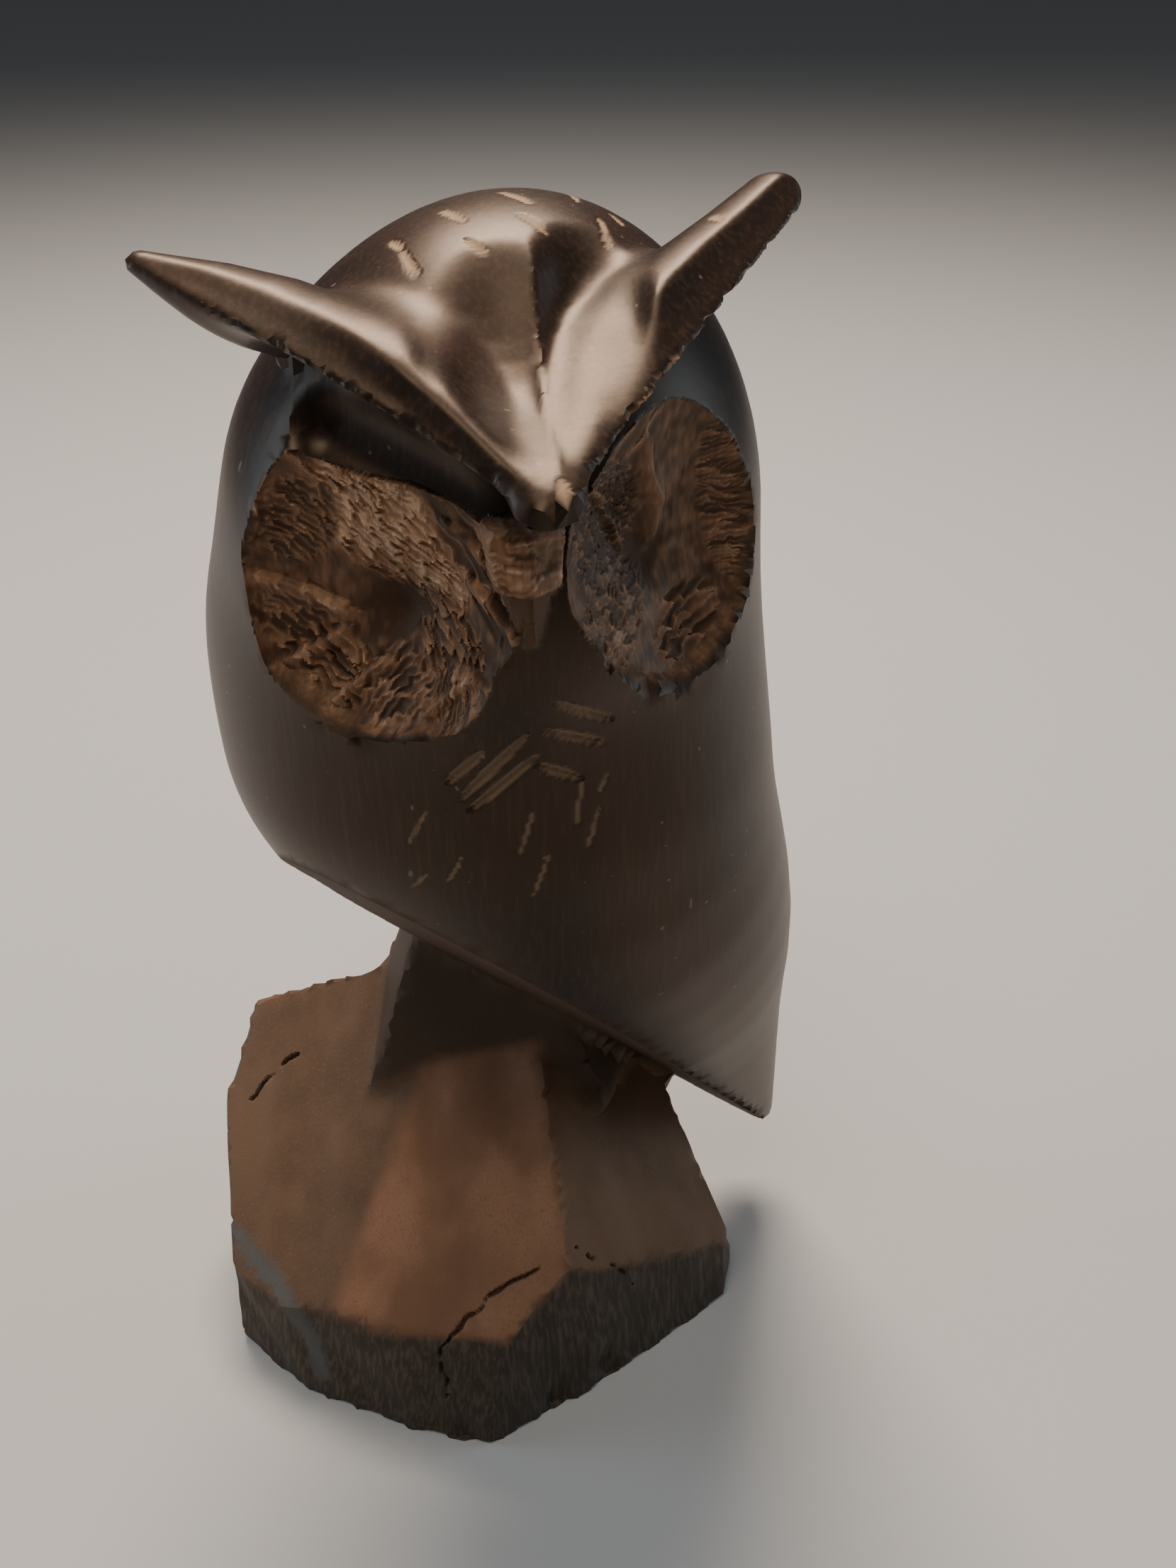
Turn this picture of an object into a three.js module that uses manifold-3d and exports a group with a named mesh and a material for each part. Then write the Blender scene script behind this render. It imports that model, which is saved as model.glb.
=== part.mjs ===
// Carved owl of ironwood, standing on the rough block that it was cut from.
// Owl and block are taken as one piece of wood, so the part is one solid.
// Millimetres. Origin at the centre of the underside, +Z up, and -Y is the side
// that the owl's face is turned to.
import * as THREE from "three";
import { edgeTable, triTable } from "three/addons/objects/MarchingCubes.js";
import Module from "manifold-3d";

const wasm = await Module();
wasm.setup();

// Head
const HEAD = { centre: [6.2, -1.5, 151.5], radii: [33.2, 34, 33] };
const CROWN = { centre: [9.8, 3, 160.5], radii: [26, 26, 27.3] };
const CHEEK = { centre: [2.5, 4, 137], radii: [34.5, 30, 26] };
// The head is turned by this angle, so that the face looks towards -Y and a little towards +X.
const FACE_TURN = (15 * Math.PI) / 180;
const FACE_AXIS = [5.5, -4.75];

// Body
const CHEST = { centre: [3.5, 3, 120.5], radii: [36.8, 34, 35] };
const BELLY = { centre: [8, 3, 100], radii: [30, 28, 31] };
// The back is a row of balls in line, thick at the shoulders and thin at the tail.
const BACK_LINE = [[9, 3, 134], [14.2, 2.5, 103], [23.8, 6.3, 81], [33.4, 10.5, 58], [47, 17, 22.5]];
const BACK_RADII = [28, 30.4, 25.2, 17.1, 6.6];

// Brow and ear tufts. Each tuft runs along its sharp lower edge, from its thin end to the beak
// of the brow. at and thick give its thickness along the way, as parts of that length. facet is
// the arc that its flat front cuts off, in degrees, and hollow is how deep that front is dished.
// undercut is the slope of its underside at the thin end and further in. drop lowers its back.
// The scoops of the forehead stay the height floor above its edge, and spare its thin end.
const LEFT_TUFT = {
  start: [-29.5, -15.3, 184.6],
  end: [15.1, -41.8, 167.9],
  at: [0, 0.13, 0.25, 0.36, 0.46, 0.58, 0.68, 0.8, 0.9, 1],
  thick: [1.2, 3, 4.2, 4.8, 5, 4.8, 3.9, 2.7, 1.9, 1.3],
  facet: 52,
  hollow: 0.4,
  undercut: [85, 8],
  drop: 0.3,
  floor: 1.2,
  spare: 0,
};
const RIGHT_TUFT = {
  start: [42.9, 1.5, 187.2],
  end: [15.4, -42.2, 167.8],
  at: [0, 0.14, 0.28, 0.42, 0.54, 0.66, 0.82, 1],
  thick: [2.6, 3.1, 3.7, 4.1, 4.1, 3.5, 2.4, 1.5],
  facet: 78,
  hollow: 0.2,
  undercut: [20, 8],
  drop: 0,
  floor: 0.9,
  spare: 1.6,
};
const TUFT_WIDE = 1.6;
const TUFT_STEPS = 12;
const TUFT_BACK_STEPS = 8;
// The right tuft ends bluntly in this flat cut.
const BLUNT_END = { point: [41.8, -0.2, 187.9], normal: [0.97, -0.1, 0.22] };
// Solid wood between the tufts, at the beak of the brow, and the hollow under the left tuft.
const BROW_CORE = { tip: [15.2, -39.6, 168.2], root: [9.5, -23, 172], radii: [1.9, 10.5], flat: 1.5 };
const BROW_RECESS = { from: 0.42, drop: 6.2, to: 0.93, end: 5, radii: [5.2, 4.2] };

// Two hollows, scooped out of the forehead on either side of the crest. The bottom of each
// follows an arc from the crown to the beak of the brow, and gets narrower on the way.
const LEFT_SCOOP = {
  top: [5.7, -12.6, 184.1],
  end: [14.5, -41, 170],
  arc: 42,
  at: [0, 0.4, 0.75, 1],
  radius: [15, 10, 5, 2.2],
};
const RIGHT_SCOOP = {
  top: [20, -6, 184.4],
  end: [17.5, -38.9, 169.8],
  arc: 48,
  at: [0, 0.25, 0.5, 0.72, 0.86, 1],
  radius: [8, 7.4, 7, 7, 6, 3.5],
};
const SCOOP_STEPS = 11;

// Eye discs: each is a shallow bowl with a round rim.
const LEFT_EYE = { centre: [-3.8, -29.3, 154.2], normal: [-0.46, -0.887, 0.02], radius: 17, depth: 5 };
const RIGHT_EYE = { centre: [29.6, -21, 158.4], normal: [0.72, -0.69, 0], radius: 19.3, depth: 5.8 };

// Bridge and beak between the discs, in the frame of the face. Each is a wedge with a
// ridge down its front: half width, how far forward the ridge is, and height, at both ends.
const BEAK_MIDDLE = -1.7;
const BEAK_ROOT = 27;
const BRIDGE = { top: [4.2, 32.2, 164], bottom: [3.4, 33.4, 157.4] };
const BEAK = { top: [2.7, 32.6, 158], bottom: [0.9, 32.4, 150.6] };

// Underside of the body: two flat saw cuts that meet in a keel from the belly to the tail.
const FRONT_CUT = { point: [-19.6, 0, 87], normal: [-0.73, -1.087, -1] };
const REAR_CUT = { point: [-22.5, 2, 84], normal: [-1.29, 1.087, -1] };

// Block: the saw cuts that bound it, each a point on the cut and the way that it faces.
const BLOCK_CUTS = [
  { point: [-45.9, -7, 23.8], normal: [-0.39, -0.57, 0.722] },
  { point: [-3.4, -31.3, 22.4], normal: [-0.23, -0.65, 0.72] },
  { point: [10.3, 0.8, 54.7], normal: [0.652, -0.411, 0.637] },
  { point: [-10, 16, 62], normal: [-0.1, 1, 0.45] },
  { point: [35, 4.8, 28.5], normal: [0.905, 0.361, 0.223] },
  { point: [-44.8, -12, 0], normal: [-0.99, -0.15, 0] },
  { point: [-43.3, -19.7, 0], normal: [-0.61, -0.79, 0.12] },
  { point: [-30.1, -29.8, 0], normal: [-0.34, -0.94, 0.24] },
  { point: [1.4, -39.2, 0], normal: [-0.2, -0.98, 0.27] },
  { point: [1.4, -39.2, 0], normal: [0.49, -0.87, 0.12] },
  { point: [18.1, -29.8, 0], normal: [0.6, -0.8, 0.1] },
  { point: [43.1, -11.1, 0], normal: [0.98, -0.2, 0.05] },
  { point: [-47, 10, 0], normal: [-0.93, 0.35, 0] },
  { point: [-40, 26, 0], normal: [-0.45, 0.89, 0] },
  { point: [10, 38, 0], normal: [-0.07, 1, 0] },
  { point: [10, 38, 0], normal: [0.38, 0.92, 0] },
  { point: [34, 28, 0], normal: [0.8, 0.6, 0.1] },
];
const BLOCK_HEIGHT = 66;
// Neck: the stub of the block that the owl's underside rests on.
const NECK_CUTS = [
  { point: [-11.6, 5.5, 70], normal: [-0.93, -0.15, 0.33] },
  { point: [2, 1.5, 60], normal: [-0.1, -0.97, 0.25] },
  { point: [18, 4, 56], normal: [0.86, -0.25, 0.45] },
  { point: [4, 19, 60], normal: [0, 1, 0.12] },
];
const NECK_FOOT = 44;
const NECK_TOP = 80;

// Grid that the rounded form is faceted on: fine at the head, coarse below. The brow's solid
// wood and the scoops have grids of their own.
const GRID = { x: [-36, 57], y: [-45.2, 41.8], z: [12, 138, 192], across: 3.1, low: 6.3, high: 2.8 };
const CORE_GRID = { x: [-3, 24], y: [-44.8, -10], z: [158, 184], step: 2.7 };
const SCOOP_GRID = { x: [-10, 32], y: [-49, 6], z: [160, 212], step: 3.2 };

const dot = (a, b) => a[0] * b[0] + a[1] * b[1] + a[2] * b[2];
const minus = (a, b) => [a[0] - b[0], a[1] - b[1], a[2] - b[2]];
const plus = (a, b) => [a[0] + b[0], a[1] + b[1], a[2] + b[2]];
const times = (a, s) => [a[0] * s, a[1] * s, a[2] * s];
const cross = (a, b) => [a[1] * b[2] - a[2] * b[1], a[2] * b[0] - a[0] * b[2], a[0] * b[1] - a[1] * b[0]];
const unit = (a) => times(a, 1 / Math.hypot(...a));

// Distances: below zero inside the wood, above zero outside it.
function blend(a, b, width) {
  const h = Math.min(1, Math.max(0, 0.5 + (0.5 * (b - a)) / width));
  return b + (a - b) * h - width * h * (1 - h);
}
const carve = (a, b, width) => -blend(-a, -b, width);

function ellipsoid(p, { centre, radii }) {
  const q = minus(p, centre);
  const near = Math.hypot(q[0] / radii[0], q[1] / radii[1], q[2] / radii[2]);
  const far = Math.hypot(q[0] / radii[0] ** 2, q[1] / radii[1] ** 2, q[2] / radii[2] ** 2);
  return (near * (near - 1)) / Math.max(far, 1e-6);
}

// Two balls and the cone that touches both.
function roundCone(p, a, b, ra, rb) {
  const ab = minus(b, a);
  const length2 = dot(ab, ab);
  const fall = ra - rb;
  const rest = length2 - fall * fall;
  const pa = minus(p, a);
  const y = dot(pa, ab);
  const z = y - length2;
  const off = minus(times(pa, length2), times(ab, y));
  const x2 = dot(off, off);
  const y2 = y * y * length2;
  const z2 = z * z * length2;
  const k = Math.sign(fall) * fall * fall * x2;
  if (Math.sign(z) * rest * z2 > k) return Math.sqrt(x2 + z2) / length2 - rb;
  if (Math.sign(y) * rest * y2 < k) return Math.sqrt(x2 + y2) / length2 - ra;
  return (Math.sqrt((x2 * rest) / length2) + y * fall) / length2 - ra;
}

function ballRow(p, points, radii, width) {
  let d = Infinity;
  for (let i = 0; i + 1 < points.length; i++) {
    const next = roundCone(p, points[i], points[i + 1], radii[i], radii[i + 1]);
    d = i === 0 ? next : width > 0 ? blend(d, next, width) : Math.min(d, next);
  }
  return d;
}

const beyond = (p, point, normal) => dot(minus(p, point), unit(normal));

const clamp = (n) => Math.min(1, Math.max(0, n));
const smooth = (n) => clamp(n) ** 2 * (3 - 2 * clamp(n));
const radians = (angle) => (angle * Math.PI) / 180;

// Straight lines through the given points.
function through(x, at, values) {
  let i = 1;
  while (i < at.length - 1 && x > at[i]) i++;
  const t = clamp((x - at[i - 1]) / (at[i] - at[i - 1]));
  return values[i - 1] + (values[i] - values[i - 1]) * t;
}

// Directions along each tuft, out of its front, and up.
for (const tuft of [LEFT_TUFT, RIGHT_TUFT]) {
  const run = minus(tuft.end, tuft.start);
  tuft.length = Math.hypot(...run);
  tuft.along = unit(run);
  const across = unit(cross(tuft.along, [0, 0, 1]));
  tuft.out = across[1] < 0 ? across : times(across, -1);
  const up = cross(tuft.along, tuft.out);
  tuft.up = up[2] > 0 ? up : times(up, -1);
}
const aboveEdge = (p, tuft) => dot(minus(p, tuft.start), tuft.up);

function browCore(p) {
  const { tip, root, radii, flat } = BROW_CORE;
  const squash = (q) => [q[0], q[1], q[2] * flat];
  const d = roundCone(squash(p), squash(tip), squash(root), ...radii);
  return [LEFT_TUFT, RIGHT_TUFT].reduce((left, tuft) => carve(left, -aboveEdge(p, tuft), 0.4), d);
}

function browRecess(p) {
  const { from, drop, to, end, radii } = BROW_RECESS;
  const { start, along, length, out } = LEFT_TUFT;
  const place = (s, below) => minus(minus(plus(start, times(along, length * s)), out), [0, 0, below]);
  return roundCone(p, place(from, drop), place(to, end), ...radii);
}

// The balls that cut a scoop, each resting on its arc.
function scoopRow({ top, end, arc, at, radius }) {
  const chord = minus(end, top);
  const length = Math.hypot(...chord);
  const level = unit([chord[0], chord[1], 0]);
  const fall = Math.asin(-chord[2] / length);
  const half = Math.asin(length / 2 / arc);
  const outward = (part) => {
    const turn = fall + half - 2 * half * part;
    return plus(times(level, Math.sin(turn)), [0, 0, Math.cos(turn)]);
  };
  const centres = [];
  const radii = [];
  for (let i = 0; i <= SCOOP_STEPS; i++) {
    const part = i / SCOOP_STEPS;
    radii.push(through(part, at, radius));
    centres.push(minus(plus(top, times(outward(0), arc)), times(outward(part), arc - radii[i])));
  }
  return [centres, radii];
}
const SCOOP_ROWS = [scoopRow(LEFT_SCOOP), scoopRow(RIGHT_SCOOP)];

function foreheadScoops(p) {
  const d = Math.min(...SCOOP_ROWS.map(([centres, radii]) => ballRow(p, centres, radii, 0)));
  return [LEFT_TUFT, RIGHT_TUFT].reduce((left, tuft) => carve(left, tuft.floor - aboveEdge(p, tuft), 1.2), d);
}

function owlForm(p) {
  let d = blend(ellipsoid(p, HEAD), ellipsoid(p, CROWN), 6);
  d = blend(d, ellipsoid(p, CHEEK), 8);
  d = blend(d, ellipsoid(p, CHEST), 8);
  d = blend(d, ellipsoid(p, BELLY), 3);
  d = blend(d, ballRow(p, BACK_LINE, BACK_RADII, 8), 8);
  d = carve(d, -browRecess(p), 1.5);
  d = blend(d, browCore(p), 3);
  return carve(d, -foreheadScoops(p), 1.8);
}

function spacing(from, to, step) {
  const count = Math.round((to - from) / step);
  return Array.from({ length: count + 1 }, (_, i) => from + ((to - from) * i) / count);
}

// Facets a form on a grid. Each grid edge that crosses the surface gets one vertex.
function facet(form, xs, ys, zs) {
  const nx = xs.length;
  const ny = ys.length;
  const nz = zs.length;
  const id = (i, j, k) => i + nx * (j + ny * k);
  const value = new Float64Array(nx * ny * nz);
  for (let k = 0; k < nz; k++)
    for (let j = 0; j < ny; j++)
      for (let i = 0; i < nx; i++) value[id(i, j, k)] = -form([xs[i], ys[j], zs[k]]);
  const vertices = [];
  const known = new Map();
  const at = (c) => [xs[c[0]], ys[c[1]], zs[c[2]]];
  const crossing = (a, b) => {
    const key = id(...a) * 3 + (b[0] > a[0] ? 0 : b[1] > a[1] ? 1 : 2);
    if (known.has(key)) return known.get(key);
    const inside = value[id(...a)] > 0;
    const start = at(a);
    const step = minus(at(b), start);
    let low = 0;
    let high = 1;
    for (let n = 0; n < 7; n++) {
      const middle = (low + high) / 2;
      if (-form(plus(start, times(step, middle))) > 0 === inside) low = middle;
      else high = middle;
    }
    const t = Math.min(0.97, Math.max(0.03, (low + high) / 2));
    known.set(key, vertices.length / 3);
    vertices.push(...plus(start, times(step, t)));
    return known.get(key);
  };
  const corner = [[0, 0, 0], [1, 0, 0], [1, 1, 0], [0, 1, 0], [0, 0, 1], [1, 0, 1], [1, 1, 1], [0, 1, 1]];
  const ends = [[0, 1], [1, 2], [3, 2], [0, 3], [4, 5], [5, 6], [7, 6], [4, 7], [0, 4], [1, 5], [2, 6], [3, 7]];
  const triangles = [];
  for (let k = 0; k + 1 < nz; k++)
    for (let j = 0; j + 1 < ny; j++)
      for (let i = 0; i + 1 < nx; i++) {
        const cell = corner.map((c) => [i + c[0], j + c[1], k + c[2]]);
        let code = 0;
        cell.forEach((c, n) => {
          if (value[id(...c)] < 0) code |= 1 << n;
        });
        if (edgeTable[code] === 0) continue;
        for (let n = code * 16; triTable[n] !== -1; n += 3) {
          const tri = [0, 1, 2].map((m) => ends[triTable[n + m]]);
          triangles.push(...tri.map(([a, b]) => crossing(cell[a], cell[b])));
        }
      }
  return solid(vertices, triangles);
}

// A solid from vertices and triangles, turned so that its faces look out.
function solid(vertices, triangles) {
  const build = (triVerts) =>
    new wasm.Manifold(
      new wasm.Mesh({ numProp: 3, vertProperties: new Float32Array(vertices), triVerts: new Uint32Array(triVerts) }),
    );
  const made = build(triangles);
  if (made.volume() > 0) return made;
  const turned = [];
  for (let i = 0; i < triangles.length; i += 3) turned.push(triangles[i], triangles[i + 2], triangles[i + 1]);
  return build(turned);
}

function fromGeometry(geometry) {
  const index = geometry.index.array;
  const position = geometry.attributes.position;
  const seen = new Map();
  const vertices = [];
  const remap = [];
  for (let i = 0; i < position.count; i++) {
    const v = [position.getX(i), position.getY(i), position.getZ(i)];
    const key = v.map((n) => Math.round(n * 1e4)).join();
    if (!seen.has(key)) {
      seen.set(key, vertices.length / 3);
      vertices.push(...v);
    }
    remap.push(seen.get(key));
  }
  const triangles = [];
  for (let i = 0; i < index.length; i += 3) {
    const t = [remap[index[i]], remap[index[i + 1]], remap[index[i + 2]]];
    if (t[0] !== t[1] && t[1] !== t[2] && t[0] !== t[2]) triangles.push(...t);
  }
  return solid(vertices, triangles);
}

function box(size, centre) {
  const geometry = new THREE.BoxGeometry(...size);
  geometry.translate(...centre);
  return fromGeometry(geometry);
}

// Takes away all that lies beyond a flat saw cut.
function sawCut(body, { point, normal }) {
  const slab = new THREE.BoxGeometry(400, 400, 400);
  slab.translate(0, 0, 200);
  const turn = new THREE.Quaternion();
  turn.setFromUnitVectors(new THREE.Vector3(0, 0, 1), new THREE.Vector3(...unit(normal)));
  slab.applyQuaternion(turn);
  slab.translate(...point);
  return body.subtract(fromGeometry(slab));
}

// Scoops the bowl of an eye disc with the round end of a ball.
function eyeBowl({ centre, normal, radius, depth }) {
  const n = unit(normal);
  const ball = (radius * radius + depth * depth) / (2 * depth);
  const geometry = new THREE.SphereGeometry(ball, 50, 34);
  geometry.rotateX(Math.PI / 2);
  const turn = new THREE.Quaternion();
  turn.setFromUnitVectors(new THREE.Vector3(0, 0, 1), new THREE.Vector3(...n));
  geometry.applyQuaternion(turn);
  geometry.translate(...plus(centre, times(n, ball - depth)));
  return fromGeometry(geometry);
}

// Maps a solid from the frame of the face to the frame of the part.
function toPart(body) {
  const mesh = body.getMesh();
  const c = Math.cos(FACE_TURN);
  const s = Math.sin(FACE_TURN);
  const vertices = [];
  for (let i = 0; i < mesh.numVert; i++) {
    const [u, w, z] = mesh.vertProperties.slice(i * mesh.numProp, i * mesh.numProp + 3);
    vertices.push(FACE_AXIS[0] + u * c + w * s, FACE_AXIS[1] + u * s - w * c, z);
  }
  return solid(vertices, [...mesh.triVerts]);
}

// A solid through rings of points, closed at both ends.
function sweep(rings) {
  const n = rings[0].length;
  const triangles = [];
  for (let i = 0; i + 1 < rings.length; i++)
    for (let k = 0; k < n; k++) {
      const a = i * n + k;
      const b = i * n + ((k + 1) % n);
      triangles.push(a, b, a + n, b, b + n, a + n);
    }
  const last = (rings.length - 1) * n;
  for (let k = 1; k + 1 < n; k++) triangles.push(0, k + 1, k, last, last + k, last + k + 1);
  return solid(rings.flat(2), triangles);
}

// The outline of a tuft at one place: its flat front, its round back and its flat underside.
// Past the ends it shrinks like the end of a ball.
function tuftRing(tuft, s, past) {
  const thick = through(s, tuft.at, tuft.thick);
  const low = tuft.drop * thick * smooth((0.62 - s) / 0.35);
  const turn = radians(tuft.facet) / 2 + (radians(50) * low) / thick;
  const fall = radians(tuft.undercut[0] + (tuft.undercut[1] - tuft.undercut[0]) * smooth(s / 0.45));
  const meet = (dx, dy) => {
    const size = Math.hypot(dx, dy);
    const b = (-thick * dx - low * dy) / size;
    const t = (b + Math.sqrt(Math.max(0, b * b - low * low))) / size;
    return [dx * t, dy * t];
  };
  const ridge = meet(-Math.sin(turn), Math.cos(turn));
  const under = meet(-Math.cos(fall), -TUFT_WIDE * Math.sin(fall));
  const dish = tuft.hollow * Math.min(thick / 3, 1);
  const outline = [[0, 0], [ridge[0] / 2 - dish * Math.cos(turn), ridge[1] / 2 - dish * Math.sin(turn)], ridge];
  const first = Math.atan2(ridge[1] + low, ridge[0] + thick);
  let last = Math.atan2(under[1] + low, under[0] + thick);
  if (last < first) last += 2 * Math.PI;
  for (let i = 1; i < TUFT_BACK_STEPS; i++) {
    const angle = first + ((last - first) * i) / TUFT_BACK_STEPS;
    outline.push([thick * (Math.cos(angle) - 1), thick * Math.sin(angle) - low]);
  }
  outline.push(under);
  const size = Math.sqrt(1 - past * past);
  const middle = plus(tuft.start, times(tuft.along, tuft.length * s + past * thick));
  return outline.map(([x, y]) => {
    const across = times(tuft.out, ((x + thick) * size - thick) * TUFT_WIDE);
    return plus(plus(middle, across), times(tuft.up, (y + low) * size - low));
  });
}

const ALL_ALONG = spacing(0, 1, 1 / TUFT_STEPS);

function tuftSolid(tuft) {
  const rings = [-0.99, -0.87, -0.5].map((past) => tuftRing(tuft, 0, past));
  rings.push(...ALL_ALONG.map((s) => tuftRing(tuft, s, 0)));
  rings.push(...[0.5, 0.87, 0.99].map((past) => tuftRing(tuft, 1, past)));
  return sweep(rings);
}

// A tuft, trimmed by the scoops of the forehead where it lies in them.
function trimmedTuft(tuft) {
  const grid = [SCOOP_GRID.x, SCOOP_GRID.y, SCOOP_GRID.z].map((range) => spacing(...range, SCOOP_GRID.step));
  const spared = (p) => {
    const s = dot(minus(p, tuft.start), tuft.along) / tuft.length;
    return foreheadScoops(p) + tuft.spare * smooth((0.8 - s) / 0.4);
  };
  return tuftSolid(tuft).subtract(facet(spared, ...grid));
}

// The flat front of a tuft runs on into the head a little: the wood in front of it.
function frontCut(tuft) {
  const turn = radians(tuft.facet) / 2;
  const ring = (s) => {
    const chord = 2.6 * through(s, tuft.at, tuft.thick) * Math.sin(turn);
    const corner = [-Math.sin(turn) * chord, Math.cos(turn) * chord];
    const clear = [6 * Math.cos(turn), 6 * Math.sin(turn)];
    const outline = [[0, 0], corner, plus([...corner, 0], [...clear, 0]).slice(0, 2), clear];
    const middle = plus(tuft.start, times(tuft.along, tuft.length * s));
    return outline.map(([x, y]) => plus(plus(middle, times(tuft.out, x * TUFT_WIDE)), times(tuft.up, y)));
  };
  return sweep([0, 0.14, 0.28, 0.42, 0.54, 0.66, 0.75].map(ring));
}

function wedge({ top, bottom }) {
  const vertices = [];
  for (const [half, front, z] of [top, bottom]) {
    vertices.push(BEAK_MIDDLE - half, BEAK_ROOT, z, BEAK_MIDDLE + half, BEAK_ROOT, z);
    vertices.push(BEAK_MIDDLE + half * 0.7, front - 1, z, BEAK_MIDDLE, front, z, BEAK_MIDDLE - half * 0.7, front - 1, z);
  }
  const triangles = [];
  for (let i = 1; i < 4; i++) triangles.push(0, i, i + 1, 5, 6 + i, 5 + i);
  for (let i = 0; i < 5; i++) {
    const j = (i + 1) % 5;
    triangles.push(i, i + 5, j, j, i + 5, j + 5);
  }
  return toPart(solid(vertices, triangles));
}

const xs = spacing(...GRID.x, GRID.across);
const ys = spacing(...GRID.y, GRID.across);
const zs = [...spacing(GRID.z[0], GRID.z[1], GRID.low).slice(0, -1), ...spacing(GRID.z[1], GRID.z[2], GRID.high)];
let owl = facet(owlForm, xs, ys, zs).subtract(frontCut(RIGHT_TUFT));
owl = owl.subtract(eyeBowl(LEFT_EYE)).subtract(eyeBowl(RIGHT_EYE));

// The brow overhangs the discs, so it is joined after they are cut.
const coreGrid = [CORE_GRID.x, CORE_GRID.y, CORE_GRID.z].map((range) => spacing(...range, CORE_GRID.step));
const core = (p) => carve(browCore(p), -foreheadScoops(p), 1.8);
owl = owl.add(facet(core, ...coreGrid));
owl = owl.add(trimmedTuft(LEFT_TUFT)).add(sawCut(trimmedTuft(RIGHT_TUFT), BLUNT_END));
owl = owl.add(wedge(BRIDGE)).add(wedge(BEAK));
owl = sawCut(sawCut(owl, FRONT_CUT), REAR_CUT);

let block = box([120, 100, BLOCK_HEIGHT], [0, 0, BLOCK_HEIGHT / 2]);
for (const cut of BLOCK_CUTS) block = sawCut(block, cut);
let neck = box([60, 60, NECK_TOP - NECK_FOOT], [4, 4, (NECK_TOP + NECK_FOOT) / 2]);
for (const cut of NECK_CUTS) neck = sawCut(neck, cut);

const carved = owl.add(neck).add(block);

function toMesh(body, name, material) {
  const mesh = body.getMesh();
  const geometry = new THREE.BufferGeometry();
  const positions = new Float32Array(mesh.numVert * 3);
  for (let i = 0; i < mesh.numVert; i++)
    for (let k = 0; k < 3; k++) positions[i * 3 + k] = mesh.vertProperties[i * mesh.numProp + k];
  geometry.setAttribute("position", new THREE.BufferAttribute(positions, 3));
  geometry.setIndex(new THREE.BufferAttribute(new Uint32Array(mesh.triVerts), 1));
  geometry.computeVertexNormals();
  const made = new THREE.Mesh(geometry, material);
  made.name = name;
  return made;
}

const ironwood = new THREE.MeshStandardMaterial({ color: 0x2b1a12, roughness: 0.35, metalness: 0 });
const part = new THREE.Group();
part.name = "ironwood_owl_figurine";
part.add(toMesh(carved, "ironwood_owl", ironwood));
export default part;
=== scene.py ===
# %% [markdown]
# An owl carved from one block of ironwood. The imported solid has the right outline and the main
# cuts, but its facets are a few millimetres wide. Here a copy of it gets a fine skin, the skin is
# drawn onto the same rounded form that the carver polished, and the tool marks are cut into it.
# The solid itself is never touched: the finished skin stands in for it.

# %% Load the solid
from math import radians

import bpy
import numpy as np
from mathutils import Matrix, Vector


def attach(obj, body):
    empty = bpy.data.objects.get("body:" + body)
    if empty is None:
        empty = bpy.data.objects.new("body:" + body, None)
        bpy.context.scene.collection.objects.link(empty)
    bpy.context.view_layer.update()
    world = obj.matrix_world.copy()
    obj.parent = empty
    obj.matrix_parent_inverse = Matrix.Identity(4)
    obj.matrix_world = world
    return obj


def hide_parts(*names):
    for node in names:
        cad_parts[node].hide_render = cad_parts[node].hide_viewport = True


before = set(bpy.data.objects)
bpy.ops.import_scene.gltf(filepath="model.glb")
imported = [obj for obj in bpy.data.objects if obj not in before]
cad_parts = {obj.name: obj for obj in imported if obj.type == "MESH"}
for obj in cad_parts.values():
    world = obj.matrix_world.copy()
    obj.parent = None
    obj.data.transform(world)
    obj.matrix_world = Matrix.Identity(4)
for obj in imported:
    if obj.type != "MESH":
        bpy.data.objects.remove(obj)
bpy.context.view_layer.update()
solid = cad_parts["ironwood_owl"]
MM = 0.001

# %% [markdown]
# The camera comes first, because the marks are placed by where they are seen. The photograph was
# taken from close by and from above, with a wide view, so near things look large. PHOTO_FOCAL is
# the distance of the picture plane in the photograph's own pixels.

# %% Camera
PHOTO_WIDTH = 1659
PHOTO_HEIGHT = 2212
PHOTO_FOCAL = 1860
CAMERA_PLACE = np.array((18, -157, 218.5))
CAMERA_PITCH = 35
SENSOR = 36

camera_data = bpy.data.cameras.new("camera")
camera_data.sensor_fit = "VERTICAL"
camera_data.sensor_height = SENSOR
camera_data.lens = SENSOR * PHOTO_FOCAL / PHOTO_HEIGHT
camera_data.clip_start = 0.01
camera = bpy.data.objects.new("camera", camera_data)
bpy.context.collection.objects.link(camera)
camera.location = CAMERA_PLACE * MM
camera.rotation_euler = (radians(90 - CAMERA_PITCH), 0, 0)
bpy.context.scene.camera = camera
print("lens", round(camera_data.lens, 2), "mm")


def sight(pixels):
    """Directions of the lines of sight through pixels of the photograph."""
    pixels = np.atleast_2d(np.array(pixels, float))
    right = (pixels[:, 0] - PHOTO_WIDTH / 2) / PHOTO_FOCAL
    down = (pixels[:, 1] - PHOTO_HEIGHT / 2) / PHOTO_FOCAL
    fall, level = np.sin(radians(CAMERA_PITCH)), np.cos(radians(CAMERA_PITCH))
    lines = np.stack([right, level - down * fall, -fall - down * level], axis=1)
    return lines / np.linalg.norm(lines, axis=1)[:, None]


# %% [markdown]
# The form is written as a distance: below zero inside the wood and above zero outside. Rounded
# masses blend into each other, and saw cuts are flat. It is the same form that the solid has, with
# the same sizes in millimetres. Sculpting by hand would look alike, but couldn't be repeated.

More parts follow.
